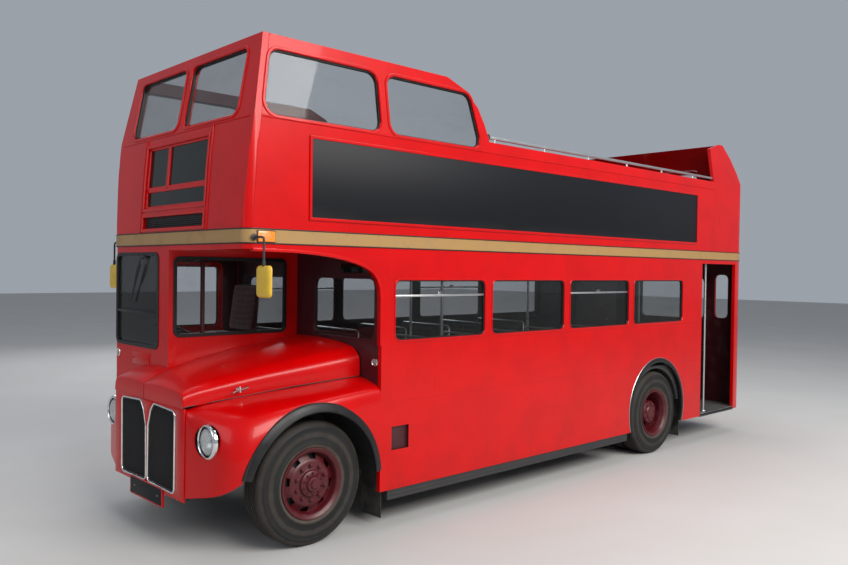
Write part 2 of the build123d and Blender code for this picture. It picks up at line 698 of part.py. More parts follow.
# Grille: polished surround and centre bar, with a fan of upright slats in each half
SURROUND = 22
SLAT = 8
SLAT_PITCH = 32
WEDGE_TOP = 70
with BuildPart() as grille:
    add(rounded_x((-GRILLE_Y, GRILLE_Y), GRILLE_Z, 70, (COWL_X[0], COWL_X[0] + 25)))
    clear_y = (SURROUND - GRILLE_Y, GRILLE_Y - SURROUND)
    clear_z = (GRILLE_Z[0] + SURROUND, GRILLE_Z[1] - SURROUND)
    clear = rounded_x(clear_y, clear_z, 70 - SURROUND, (COWL_X[0] - 5, COWL_X[0] + 30))
    add(clear, mode=Mode.SUBTRACT)
    add(box_between((COWL_X[0], COWL_X[0] + 25), (-9, 9), (GRILLE_Z[0] + 5, GRILLE_Z[1] - 5)))
    with BuildSketch(Plane.YZ.offset(COWL_X[0])):
        with BuildLine():
            wedge_z = GRILLE_Z[1] - 8
            Polyline((-9, 900), (9, 900), (WEDGE_TOP, wedge_z), (-WEDGE_TOP, wedge_z), close=True)
        make_face()
    extrude(amount=20)
    slat_count = int((GRILLE_Y - SURROUND) * 2 / SLAT_PITCH)
    with BuildSketch(Plane.YZ.offset(COWL_X[0])):
        with Locations((0, (GRILLE_Z[0] + GRILLE_Z[1]) / 2)):
            with GridLocations(SLAT_PITCH, 1, slat_count, 1):
                Rectangle(SLAT, GRILLE_Z[1] - GRILLE_Z[0] - 40)
    extrude(amount=8)
finish(grille.part, "grille")

# Radiator core behind the grille
with BuildPart() as radiator:
    core_z = (GRILLE_Z[0] + 10, GRILLE_Z[1] - 10)
    add(box_between((FRONT_AXLE + 790, COWL_X[0] - 6), (-500, 500), core_z))
finish(radiator.part, "radiator")

# Cab shell on the offside of the engine, with the two rails that its door slides on
DOOR_RAILS_Z = [(2342, 2372), (1207, 1239)]
DOOR_RAIL_X = (FRONT_AXLE - 630, FRONT_AXLE + 210)
DOOR_RAIL_DEEP = 37
WINDSCREEN = ((-1145, -260), (1530, 2365))  # (y limits, z limits)
CAB_SIDE_WINDOW = ((FRONT_AXLE - 500, FRONT_AXLE + 625), (1650, 2330))  # (x limits, z limits)
DOOR_OPENING = (FRONT_AXLE - 460, FRONT_AXLE + 160, 1235, 2300)  # (x low, x high, z low, z high)
with BuildPart() as cab_shell:
    with BuildSketch(Plane.XY.offset(1000)):
        with Locations(((BULKHEAD_X + CAB_FRONT_X) / 2, (CAB_INNER_Y - HALF_WIDTH) / 2)):
            Rectangle(CAB_FRONT_X - BULKHEAD_X, HALF_WIDTH + CAB_INNER_Y)
        fillet(vertices().group_by(Axis.X)[-1].sort_by(Axis.Y)[0], 80)
    extrude(amount=DECK_UNDER_Z - 1000)
    with BuildSketch(Plane.XY.offset(990)):
        with Locations(((BULKHEAD_X - 10 + CAB_FRONT_X - CAB_WALL) / 2, (CAB_INNER_Y - HALF_WIDTH) / 2)):
            Rectangle(CAB_FRONT_X - CAB_WALL - BULKHEAD_X + 10, HALF_WIDTH + CAB_INNER_Y - 2 * CAB_WALL)
        fillet(vertices().group_by(Axis.X)[-1].sort_by(Axis.Y)[0], 50)
    extrude(amount=DECK_UNDER_Z - 980, mode=Mode.SUBTRACT)
    add(box_between((BULKHEAD_X - 5, CAB_SILL_X), (-2000, 0), (900, CAB_FLOOR_Z - 30)), mode=Mode.SUBTRACT)
    wing_front = mirror(wing_form(1), about=Plane.XZ, mode=Mode.PRIVATE)
    wing_front &= box_between((CAB_SILL_X, FAR), (-2000, 0), (900, 1400))
    add(wing_front, mode=Mode.SUBTRACT)
    add(box_between((0, FAR), (-560, 0), (900, 1110)), mode=Mode.SUBTRACT)
    windscreen = rounded_x(*WINDSCREEN, 60, (CAB_FRONT_X - 100, CAB_FRONT_X + 50))
    add(windscreen, mode=Mode.SUBTRACT)
    add(rounded_y(*CAB_SIDE_WINDOW, 50, (-200, 0)), mode=Mode.SUBTRACT)
    add(rounded_y(DOOR_OPENING[:2], DOOR_OPENING[2:], 60, (-1400, -1100)), mode=Mode.SUBTRACT)
    for z_low, z_high in DOOR_RAILS_Z:
        add(box_between(DOOR_RAIL_X, (-HALF_WIDTH - DOOR_RAIL_DEEP, -HALF_WIDTH + 1), (z_low, z_high)))
finish(cab_shell.part, "cab_shell")

# Cab floor over the offside front wheel
with BuildPart() as cab_floor:
    floor_y = (-HALF_WIDTH + CAB_WALL, CAB_INNER_Y - CAB_WALL)
    add(box_between((BULKHEAD_X, CAB_FRONT_X - CAB_WALL), floor_y, (CAB_FLOOR_Z - 30, CAB_FLOOR_Z)))
    with BuildSketch(Plane.XY.offset(1000)):
        with Locations((CAB_FRONT_X - CAB_WALL, -HALF_WIDTH + CAB_WALL)):
            Rectangle(100, 100)
    extrude(amount=400, mode=Mode.SUBTRACT)
finish(cab_floor.part, "cab_floor")

# Sliding cab door outside the cab wall
DOOR_GAP = 7
DOOR_THICK = 28
DOOR_Y = (-HALF_WIDTH - DOOR_GAP - DOOR_THICK, -HALF_WIDTH - DOOR_GAP)
DOOR_X = (FRONT_AXLE - 500, FRONT_AXLE + 200)
DOOR_Z = (1245, 2335)
DOOR_WINDOW = (FRONT_AXLE - 430, FRONT_AXLE + 130, 1640, 2265)
with BuildPart() as cab_door:
    add(rounded_y(DOOR_X, DOOR_Z, 50, DOOR_Y))
    add(rounded_y(DOOR_WINDOW[:2], DOOR_WINDOW[2:], 45, (-1400, -1100)), mode=Mode.SUBTRACT)
finish(cab_door.part, "cab_door")

with BuildPart() as cab_door_pane:
    add(rounded_y(DOOR_WINDOW[:2], DOOR_WINDOW[2:], 45, (DOOR_Y[0] + 11, DOOR_Y[0] + 17)))
finish(cab_door_pane.part, "cab_door_pane")

# Waist band round the upper deck's foot
BAND_THICK = 4
with BuildPart() as band:
    add(envelope(-BAND_THICK, DECK_UNDER_Z + 1, BAND_TOP_Z))
    add(envelope(0, DECK_UNDER_Z, BAND_TOP_Z + 5), mode=Mode.SUBTRACT)
finish(band.part, "band")

# Advert boards on the upper sides, blank
BOARD_X = (FRONT_AXLE - 6050, FRONT_AXLE + 120)
BOARD_Z = (2637, 3290)
with BuildPart() as advert_boards:
    for side in (1, -1):
        y_span = sorted((side * HALF_WIDTH, side * (HALF_WIDTH + 8)))
        add(box_between(BOARD_X, y_span, BOARD_Z))
finish(advert_boards.part, "advert_boards")

# Blind boxes: three dark panes in the front recess and one over the bulkhead window
with BuildPart() as blind_boxes:
    add(front_layer(40, 25, (-BLIND_Y, BLIND_Y), BLIND_Z))
    add(front_layer(26, 6, (-BLIND_Y, BLIND_Y), (2915, 2945)))
    add(front_layer(26, 6, (-175, -145), (2945, BLIND_Z[1])))
    add(box_between((BULKHEAD_X, BULKHEAD_X + 25), (650, 1060), (2205, 2315)))
finish(blind_boxes.part, "blind_boxes")

# Window panes, each in the middle of its wall
with BuildPart() as window_panes:
    for side in (1, -1):
        y_span = sorted((side * (HALF_WIDTH - WALL / 2), side * (HALF_WIDTH - WALL / 2 - PANE)))
        for centre in WINDOW_XS:
            opening = (centre - WINDOW_WIDTH / 2, centre + WINDOW_WIDTH / 2)
            add(rounded_y(opening, (WAIST_Z, HEAD_Z), WINDOW_CORNER, y_span))
        for corners in SCREEN_WINDOWS:
            add(PANE_SHELL & screen_opening(corners, sorted((side * 900, side * 1400))))
        y_front = sorted((side * FRONT_WINDOW_Y[0], side * FRONT_WINDOW_Y[1]))
        front_glass = front_layer(33, 27, y_front, (3300, 4050))
        add(front_glass & rounded_x(y_front, FRONT_WINDOW_Z, 70, (FRONT_AXLE, FRONT_AXLE + 900)))
    for y_span in BULKHEAD_WINDOWS:
        add(rounded_x(y_span, (1640, 2165), WINDOW_CORNER, (BULKHEAD_X - 23, BULKHEAD_X - 17)))
    for y_low, y_high, z_low, z_high in REAR_WINDOWS:
        glass_x = (TAIL + 20, TAIL + 20 + PANE)
        rear_glass = rounded_x((y_low, y_high), (z_low, z_high), WINDOW_CORNER, glass_x)
        add(rear_glass & LOWER_SHELL)
    add(rounded_x(*WINDSCREEN, 60, (CAB_FRONT_X - 18, CAB_FRONT_X - 12)))
    add(rounded_y(*CAB_SIDE_WINDOW, 50, (CAB_INNER_Y - 18, CAB_INNER_Y - 12)))
finish(window_panes.part, "window_panes")

# Headlamps: a body let into the wing, a ring on its face and a domed glass
LAMP_SECTIONS = [
    [(-60, LAMP_BODY_R - 3), (-16, LAMP_BODY_R - 3)],
    [(-16, LAMP_RING_R - 2), (4, LAMP_RING_R - 2), (12, 126)],
    [(4, 110), (20, 78), (26, 30)],
]  # (forward of the ring's seat, radius)
with BuildPart() as headlamps:
    for side in (1, -1):
        lamp_plane = Plane(origin=(LAMP_X, side * LAMP_Y, LAMP_Z), z_dir=(1, 0, 0))
        for sections in LAMP_SECTIONS:
            add(faceted(lamp_plane, sections, LAMP_FACETS))
finish(headlamps.part, "headlamps")

# Each marker lamp is (x, y, z, radius, depth), standing forward or back from a wall.
MARKERS = [
    (BULKHEAD_X, 1135, 1450, 32, 22),
    (CAB_FRONT_X, -1090, 1435, 32, 22),
    (TAIL, 1010, 980, 45, -25),
    (TAIL, 1010, 860, 45, -25),
    (TAIL, -1010, 980, 45, -25),
    (TAIL, -1010, 860, 45, -25),
]
with BuildPart() as marker_lamps:
    for x, y, z, radius, depth in MARKERS:
        with BuildSketch(Plane.YZ.offset(x)):
            with Locations((y, z)):
                RegularPolygon(radius, BAR_FACETS)
        extrude(amount=depth)
    for side in (1, -1):
        y_span = sorted((side * (HALF_WIDTH + BAND_THICK), side * (HALF_WIDTH + 24)))
        add(rounded_y((FRONT_AXLE + 440, FRONT_AXLE + 600), (2440, 2535), 20, y_span))
finish(marker_lamps.part, "marker_lamps")

# Number plates, blank
with BuildPart() as number_plates:
    add(box_between((NOSE - 7, NOSE), (-310, 310), (300, 460)))
    add(box_between((TAIL - 8, TAIL), (-620, -100), (800, 915)))
finish(number_plates.part, "number_plates")

# Subframes: the front one with towers for the springs, the rear one arched over the axle
LONGERON_Y = (390, 450)
LONGERON_Z = (460, 580)
REAR_LONGERON = [
    (REAR_AXLE + 950, 620),
    (REAR_AXLE + 950, 500),
    (REAR_AXLE + 320, 480),
    (REAR_AXLE + 160, 582),
    (REAR_AXLE - 160, 582),
    (REAR_AXLE - 320, 480),
    (REAR_AXLE - 950, 500),
    (REAR_AXLE - 950, 620),
]  # (x, z)
REAR_CROSS_X = (REAR_AXLE + 900, REAR_AXLE - 700)
with BuildPart() as subframes:
    for side in (1, -1):
        y_span = sorted((side * LONGERON_Y[0], side * LONGERON_Y[1]))
        add(box_between((BULKHEAD_X - 560, FRONT_AXLE + 785), y_span, LONGERON_Z))
        add(box_between((BULKHEAD_X - 560, BULKHEAD_X - 60), y_span, (LONGERON_Z[1], FLOOR_Z[0])))
        add(box_between((FRONT_AXLE - 80, FRONT_AXLE + 80), y_span, (LONGERON_Z[1], 900)))
        add(box_between((FRONT_AXLE - 150, FRONT_AXLE + 150), y_span, (318, LONGERON_Z[0])))
    for x in (BULKHEAD_X - 200, FRONT_AXLE + 700):
        add(box_between((x - 40, x + 40), (-LONGERON_Y[0], LONGERON_Y[0]), (LONGERON_Z[0], 500)))
    for side in (1, -1):
        y_span = sorted((side * LONGERON_Y[0], side * LONGERON_Y[1]))
        add(prism_y(REAR_LONGERON, y_span))
        for x in REAR_CROSS_X:
            add(box_between((x - 40, x + 40), y_span, (468, 510)))
    for x in REAR_CROSS_X:
        add(box_between((x - 40, x + 40), (-LONGERON_Y[0], LONGERON_Y[0]), (468, 498)))
finish(subframes.part, "subframes")

# Engine and gearbox, one plain block on the front cross members
with BuildPart() as engine:
    add(box_between((FRONT_AXLE - 350, FRONT_AXLE + 640), (-340, 340), (500, 1090)))
    add(box_between((BULKHEAD_X - 240, FRONT_AXLE - 350), (-200, 200), (500, 612)))
    chamfer(edges().filter_by(Axis.X).group_by(Axis.Z)[-1], 60)
finish(engine.part, "engine")

# Front suspension: upper and lower wishbones with a coil spring on each side
ARM_LOW_Z = (AXLE_Z - 190, AXLE_Z - 155)
ARM_HIGH_Z = (AXLE_Z + 155, AXLE_Z + 190)
SPRING_Y = 620
with BuildPart() as front_suspension:
    for side in (1, -1):
        for low, high in (ARM_LOW_Z, ARM_HIGH_Z):
            with BuildSketch(Plane.XY.offset(low)):
                with BuildLine():
                    Polyline(
                        (FRONT_AXLE - 150, side * LONGERON_Y[1]),
                        (FRONT_AXLE + 150, side * LONGERON_Y[1]),
                        (FRONT_AXLE + 90, side * SPRING_Y),
                        (FRONT_AXLE + 42, side * (KINGPIN_Y + 28)),
                        (FRONT_AXLE - 42, side * (KINGPIN_Y + 28)),
                        (FRONT_AXLE - 90, side * SPRING_Y),
                        close=True,
                    )
                make_face()
                with Locations((FRONT_AXLE, side * SPRING_Y)):
                    RegularPolygon(62, BAR_FACETS, mode=Mode.SUBTRACT)
            extrude(amount=high - low)
        with BuildSketch(Plane.XY.offset(ARM_LOW_Z[0])):
            with Locations((FRONT_AXLE, side * SPRING_Y)):
                RegularPolygon(66, BAR_FACETS)
        extrude(amount=20)
        with BuildSketch(Plane.XY.offset(ARM_LOW_Z[0] + 20)):
            with Locations((FRONT_AXLE, side * SPRING_Y)):
                RegularPolygon(50, BAR_FACETS)
        extrude(amount=850 - ARM_LOW_Z[0] - 20)
        y_span = sorted((side * LONGERON_Y[1], side * (SPRING_Y + 60)))
        add(box_between((FRONT_AXLE - 60, FRONT_AXLE + 60), y_span, (850, 880)))
finish(front_suspension.part, "front_suspension")

# Rear axle: casing with a central bowl, spring seats, hub spindles and the shaft from the gearbox
SPINDLE_R = 45
SHAFT_R = 38
SHAFT_Z = 545
GEARBOX_X = BULKHEAD_X - 240
BOWL_SECTIONS = [(-160, 62), (-100, 130), (-50, 160), (50, 160), (100, 130), (160, 62)]  # (y, radius)
with BuildPart() as rear_axle:
    middle = axle_plane(REAR_AXLE, 1, 0)
    add(faceted(middle, [(-600, 62), (600, 62)], BAR_FACETS))
    add(faceted(middle, [(-1090, SPINDLE_R), (1090, SPINDLE_R)], BAR_FACETS))
    add(faceted(middle, BOWL_SECTIONS, 24))
    bowl_top = box_between((REAR_AXLE - 200, REAR_AXLE + 200), (-200, 200), (FLOOR_Z[0] - 8, 900))
    add(bowl_top, mode=Mode.SUBTRACT)
    for side in (1, -1):
        y_span = sorted((side * LONGERON_Y[0], side * LONGERON_Y[1]))
        add(box_between((REAR_AXLE - 60, REAR_AXLE + 60), y_span, (AXLE_Z, 582)))
    shaft_plane = Plane(origin=(REAR_AXLE + 100, 0, SHAFT_Z), z_dir=(1, 0, 0))
    add(faceted(shaft_plane, [(0, SHAFT_R), (GEARBOX_X - REAR_AXLE - 100, SHAFT_R)], BAR_FACETS))
finish(rear_axle.part, "rear_axle")

# Fuel tank under the offside of the saloon
with BuildPart() as fuel_tank:
    with BuildSketch(Plane.YZ.offset(FRONT_AXLE - 2600)):
        with Locations((-860, 495)):
            RectangleRounded(480, 250, 50)
    extrude(amount=1100)
finish(fuel_tank.part, "fuel_tank")

# Exhaust: silencer under the nearside with its pipes
with BuildPart() as exhaust:
    with BuildSketch(Plane.YZ.offset(FRONT_AXLE - 2900)):
        with Locations((700, 500)):
            RectangleRounded(300, 190, 80)
    extrude(amount=1100)
    pipe_plane = Plane(origin=(FRONT_AXLE - 3900, 700, 520), z_dir=(1, 0, 0))
    add(faceted(pipe_plane, [(0, 32), (3050, 32)], BAR_FACETS))
    for x in (FRONT_AXLE - 2700, FRONT_AXLE - 2000):
        add(box_between((x, x + 40), (670, 730), (580, FLOOR_Z[0])))
finish(exhaust.part, "exhaust")

# Lifeguard rails under the skirts
with BuildPart() as lifeguard_rails:
    for side in (1, -1):
        y_span = sorted((side * 1172, side * 1202))
        add(box_between((FRONT_AXLE - 4480, FRONT_AXLE - 730), y_span, (250, SKIRT_Z)))
finish(lifeguard_rails.part, "lifeguard_rails")

# Mudflaps behind the wheels, hung from the floor
with BuildPart() as mudflaps:
    for side in (1, -1):
        for x, y_low, z_low in ((FRONT_AXLE - 700, 880, 90), (REAR_AXLE - 640, 650, 130)):
            y_span = sorted((side * y_low, side * 1150))
            add(box_between((x - 8, x), y_span, (z_low, FLOOR_Z[0])))
finish(mudflaps.part, "mudflaps")

# Towing eye under the front of the nearside longeron
TOW_X = FRONT_AXLE + 740
TOW_Z = 400
TOW_BORE_R = 22
with BuildPart() as tow_eye:
    eye_outline = [
        (TOW_X - 45, LONGERON_Z[0]),
        (TOW_X - 45, TOW_Z - 20),
        (TOW_X - 20, TOW_Z - 45),
        (TOW_X + 20, TOW_Z - 45),
        (TOW_X + 45, TOW_Z - 20),
        (TOW_X + 45, LONGERON_Z[0]),
    ]
    add(prism_y(eye_outline, (405, 430)))
    with BuildSketch(Plane.XZ.offset(-440)):
        with Locations((TOW_X, TOW_Z)):
            Circle(TOW_BORE_R)
    extrude(amount=60, mode=Mode.SUBTRACT)
finish(tow_eye.part, "tow_eye")

# Mirrors on arms at both front corners of the canopy
MIRROR_Y = 1360
with BuildPart() as mirrors:
    for side in (1, -1):
        y_span = sorted((side * (MIRROR_Y - 100), side * (MIRROR_Y + 100)))
        add(rounded_x(y_span, (2030, 2270), 30, (FRONT_AXLE + 610, FRONT_AXLE + 640)))
        arm_y = sorted((side * (HALF_WIDTH + BAND_THICK), side * (MIRROR_Y + 9)))
        add(box_between((FRONT_AXLE + 614, FRONT_AXLE + 632), arm_y, (2470, 2488)))
        post_y = sorted((side * (MIRROR_Y - 9), side * (MIRROR_Y + 9)))
        add(box_between((FRONT_AXLE + 614, FRONT_AXLE + 632), post_y, (2265, 2475)))
finish(mirrors.part, "mirrors")

# Steering knuckles: kingpin, spindle, brake plate and steering arm
KNUCKLE_R = 30
BRAKE_PLATE_R = 150
for name, side in (("near_knuckle", 1), ("off_knuckle", -1)):
    with BuildPart() as knuckle:
        pin_plane = Plane.XY.offset(AXLE_Z - 152).move(Location((FRONT_AXLE, side * KINGPIN_Y, 0)))
        add(faceted(pin_plane, [(0, KNUCKLE_R), (304, KNUCKLE_R)], BAR_FACETS))
        spindle_plane = axle_plane(FRONT_AXLE, side, KINGPIN_Y)
        add(faceted(spindle_plane, [(0, KNUCKLE_R), (230, KNUCKLE_R)], BAR_FACETS))
        add(faceted(spindle_plane, [(35, BRAKE_PLATE_R), (44, BRAKE_PLATE_R)], 24))
        y_span = sorted((side * (KINGPIN_Y - 14), side * (KINGPIN_Y + 14)))
        add(box_between((FRONT_AXLE - 190, FRONT_AXLE), y_span, (AXLE_Z - 90, AXLE_Z - 60)))
    finish(knuckle.part, name)

# Tyres, with flat facets that keep the contact with the road true to size
# Each section is (outward of the tyre's middle, radius).
TYRE_FACETS = 36
RIM_FACETS = 24
TYRE_BORE_R = RIM_RADIUS + 0.3
SIDEWALL = TYRE_WIDTH / 2
TYRE_SECTIONS = [
    (-SIDEWALL, 420),
    (-SIDEWALL + 15, 482),
    (-SIDEWALL + 55, TYRE_RADIUS),
    (SIDEWALL - 55, TYRE_RADIUS),
    (SIDEWALL - 15, 482),
    (SIDEWALL, 420),
]


def tyre_ring(x, side, y):
    """One tyre about an axle."""
    middle = axle_plane(x, side, y)
    bore = faceted(middle, [(-200, TYRE_BORE_R), (200, TYRE_BORE_R)], RIM_FACETS)
    return faceted(middle, TYRE_SECTIONS, TYRE_FACETS) - bore


# Wheels, as forms put on and cut away in turn, each through (outward of the middle, radius) sections
FRONT_WHEEL = [
    (Mode.ADD, [(-95, RIM_RADIUS), (95, RIM_RADIUS)]),
    (Mode.SUBTRACT, [(-96, 236), (96, 236)]),
    (Mode.ADD, [(0, 237), (45, 237), (88, 180), (100, 110)]),
    (Mode.SUBTRACT, [(-1, 218), (35, 218), (70, 165), (80, 110)]),
    (Mode.ADD, [(-140, 195), (0, 195), (0.5, 237), (10, 237)]),
    (Mode.SUBTRACT, [(-141, 170), (-20, 170)]),
    (Mode.ADD, [(-60, 80), (100, 80)]),
    (Mode.ADD, [(98, 100), (138, 92), (150, 40)]),
    (Mode.SUBTRACT, [(-200, KNUCKLE_R + 1.5), (40, KNUCKLE_R + 1.5)]),
]
REAR_WHEEL = [
    (Mode.ADD, [(-240, RIM_RADIUS), (240, RIM_RADIUS)]),
    (Mode.SUBTRACT, [(-241, 236), (-15, 236)]),
    (Mode.SUBTRACT, [(15, 236), (241, 236)]),
    (Mode.ADD, [(-130, 150), (0, 150)]),
    (Mode.ADD, [(0, 150), (190, 135), (215, 60)]),
    (Mode.SUBTRACT, [(-200, SPINDLE_R + 2), (190, SPINDLE_R + 2)]),
]
HAND_HOLES = 8
for name, side in (("near_front", 1), ("off_front", -1)):
    with BuildPart() as front_tyre:
        add(tyre_ring(FRONT_AXLE, side, FRONT_TYRE_Y))
    finish(front_tyre.part, f"{name}_tyre")
    middle = axle_plane(FRONT_AXLE, side, FRONT_TYRE_Y)
    with BuildPart() as front_wheel:
        for mode, sections in FRONT_WHEEL:
            add(faceted(middle, sections, RIM_FACETS), mode=mode)
        with BuildSketch(middle.offset(30)):
            with PolarLocations(208, HAND_HOLES):
                Rectangle(30, 60)
        extrude(amount=60, mode=Mode.SUBTRACT)
    finish(front_wheel.part, f"{name}_wheel")

REAR_MIDDLE_Y = (REAR_OUTER_Y + REAR_INNER_Y) / 2
for name, side in (("near_rear", 1), ("off_rear", -1)):
    with BuildPart() as rear_tyres:
        for centre in (REAR_INNER_Y, REAR_OUTER_Y):
            add(tyre_ring(REAR_AXLE, side, centre))
    finish(rear_tyres.part, f"{name}_tyres")
    middle = axle_plane(REAR_AXLE, side, REAR_MIDDLE_Y)
    with BuildPart() as rear_wheels:
        for mode, sections in REAR_WHEEL:
            add(faceted(middle, sections, RIM_FACETS), mode=mode)
    finish(rear_wheels.part, f"{name}_wheels")

# Seats: one soft solid to each double seat, and its legs and top rail
SEAT_WIDTH = 860
SEAT_Y = 725
SEAT_BASE = 330
SEAT_PROFILE = [(200, 0), (200, 110), (-150, 95), (-225, 540), (-285, 540), (-225, 0)]  # (x, z)
LOWER_ROWS = [FRONT_AXLE - 1330 - 690 * i for i in range(5)]
NEAR_UPPER_ROWS = [FRONT_AXLE - 170 - 720 * i for i in range(9)]
OFF_UPPER_ROWS = NEAR_UPPER_ROWS[:8]
LOWER_SEATS = [(x, side, SALOON_Z) for side in (1, -1) for x in LOWER_ROWS]
UPPER_SEATS = [(x, 1, DECK_Z) for x in NEAR_UPPER_ROWS] + [(x, -1, DECK_Z) for x in OFF_UPPER_ROWS]
BENCH_PROFILE = [(620, 0), (620, 100), (1040, 90), (1075, 520), (1140, 520), (1140, 0)]  # (y, z)
with BuildPart() as seats:
    for x, side, floor in LOWER_SEATS + UPPER_SEATS:
        with BuildSketch(Plane.XZ.offset(-side * SEAT_Y - SEAT_WIDTH / 2)):
            with BuildLine():
                Polyline(*[(x + dx, floor + SEAT_BASE + dz) for dx, dz in SEAT_PROFILE], close=True)
            make_face()
            chamfer(vertices().sort_by(Axis.X)[-2:], 25)
        extrude(amount=SEAT_WIDTH)
    for side in (1, -1):
        with BuildSketch(Plane.YZ.offset(REAR_AXLE - BOX_HALF + 20)):
            with BuildLine():
                Polyline(*[(side * y, BOX_TOP_Z + z) for y, z in BENCH_PROFILE], close=True)
            make_face()
        extrude(amount=2 * BOX_HALF - 40)
finish(seats.part, "seats")

SEAT_LEG = [(-170, 0), (120, 0), (60, SEAT_BASE), (-150, SEAT_BASE)]  # (x, z)
with BuildPart() as seat_frames:
    for x, side, floor in LOWER_SEATS + UPPER_SEATS:
        for leg_y in (SEAT_Y - SEAT_WIDTH / 2 + 40, SEAT_Y + SEAT_WIDTH / 2 - 40):
            y_span = sorted((side * (leg_y - 10), side * (leg_y + 10)))
            add(prism_y([(x + dx, floor + dz) for dx, dz in SEAT_LEG], y_span))
        bar_y = side * SEAT_Y - SEAT_WIDTH / 2 + 10
        bar_plane = Plane(origin=(x - 255, bar_y, floor + SEAT_BASE + 554), z_dir=(0, 1, 0))
        add(faceted(bar_plane, [(0, 14), (SEAT_WIDTH - 20, 14)], POLE_FACETS))
finish(seat_frames.part, "seat_frames")

# Driver's seat
with BuildPart() as driver_seat:
    pedestal_z = (CAB_FLOOR_Z, CAB_FLOOR_Z + 300)
    add(box_between((FRONT_AXLE - 260, FRONT_AXLE - 120), (-700, -560), pedestal_z))
    with BuildSketch(Plane.XZ.offset(400)):
        with BuildLine():
            seat_points = [(FRONT_AXLE - 170 + dx, CAB_FLOOR_Z + 300 + dz) for dx, dz in SEAT_PROFILE]
            Polyline(*seat_points, close=True)
        make_face()
        chamfer(vertices().sort_by(Axis.X)[-2:], 25)
    extrude(amount=460)
finish(driver_seat.part, "driver_seat")

# Steering wheel on its column
WHEEL_CENTRE = Vector(FRONT_AXLE + 330, -630, 1650)
COLUMN_FOOT = Vector(FRONT_AXLE + 560, -630, CAB_FLOOR_Z)
STEERING_R = 228
GRIP = 26
with BuildPart() as steering_wheel:
    column = COLUMN_FOOT - WHEEL_CENTRE
    wheel_plane = Plane(origin=WHEEL_CENTRE, x_dir=(0, 1, 0), z_dir=column * -1)
    with BuildSketch(wheel_plane.offset(-GRIP / 2)):
        RegularPolygon(STEERING_R, RIM_FACETS)
        RegularPolygon(STEERING_R - GRIP, RIM_FACETS, mode=Mode.SUBTRACT)
    extrude(amount=GRIP)
    with BuildSketch(wheel_plane.offset(-8)):
        with PolarLocations(STEERING_R / 2 - 6, 3):
            Rectangle(STEERING_R - 12, 24)
    extrude(amount=16)
    add(faceted(wheel_plane, [(-14, 45), (14, 38)], BAR_FACETS))
    add(faceted(wheel_plane, [(-column.length - 30, 22), (0, 22)], BAR_FACETS))
    under_floor = box_between((FRONT_AXLE, NOSE), (-700, -500), (CAB_FLOOR_Z - 200, CAB_FLOOR_Z))
    add(under_floor, mode=Mode.SUBTRACT)
finish(steering_wheel.part, "steering_wheel")

# Handrails: grab poles, rails along the upper side walls and the guard round the stairwell
POLES = [
    (FRONT_AXLE - 6500, 1110, PLATFORM_Z),
    (FRONT_AXLE - 6100, 330, SALOON_Z),
    (FRONT_AXLE - 4420, 290, SALOON_Z),
    (FRONT_AXLE - 4420, -290, SALOON_Z),
    (FRONT_AXLE - 2300, 250, SALOON_Z),
    (FRONT_AXLE - 2300, -250, SALOON_Z),
]  # (x, y, foot z)
POLE_R = 16
RAIL_Z = 3545
RAIL_Y = 1165
RAIL_FRONT_X = FRONT_AXLE - 1995
RAIL_POSTS = 6
RAIL_PITCH = 780
GUARD_XS = (NEWEL_X - 560, NEWEL_X - 50, NEWEL_X + 450, STAIR_HEAD_X - 60)
GUARD_Y = NEWEL_Y + 40
GUARD_HEIGHT = 900
with BuildPart() as handrails:
    for x, y, foot in POLES:
        with BuildSketch(Plane.XY.offset(foot)):
            with Locations((x, y)):
                RegularPolygon(POLE_R, POLE_FACETS)
        extrude(amount=DECK_UNDER_Z - foot)
    for side in (1, -1):
        with BuildSketch(Plane.YZ.offset(QUARTER_X)):
            with Locations((side * RAIL_Y, RAIL_Z)):
                RegularPolygon(POLE_R + 1, POLE_FACETS)
        extrude(amount=RAIL_FRONT_X - QUARTER_X)
        for post in range(RAIL_POSTS):
            with BuildSketch(Plane.XY.offset(RAIL_WALL_Z)):
                with Locations((RAIL_FRONT_X - 100 - post * RAIL_PITCH, side * RAIL_Y)):
                    Rectangle(18, 18)
            extrude(amount=RAIL_Z - RAIL_WALL_Z - 5)
    for x in GUARD_XS:
        with BuildSketch(Plane.XY.offset(DECK_Z)):
            with Locations((x, GUARD_Y)):
                RegularPolygon(POLE_R - 2, POLE_FACETS)
        extrude(amount=GUARD_HEIGHT - 4)
    with BuildSketch(Plane.YZ.offset(GUARD_XS[0] - 20)):
        with Locations((GUARD_Y, DECK_Z + GUARD_HEIGHT)):
            RegularPolygon(POLE_R, POLE_FACETS)
    extrude(amount=GUARD_XS[-1] - GUARD_XS[0] + 40)
finish(handrails.part, "handrails")
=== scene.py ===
"""Dresses the half-cab double decker bus: paint, glass, rubber, trim and lights, in metres."""

import json
from contextlib import contextmanager
from math import atan2, cos, hypot, pi, radians, sin

import bmesh
import bpy
from mathutils import Matrix, Vector


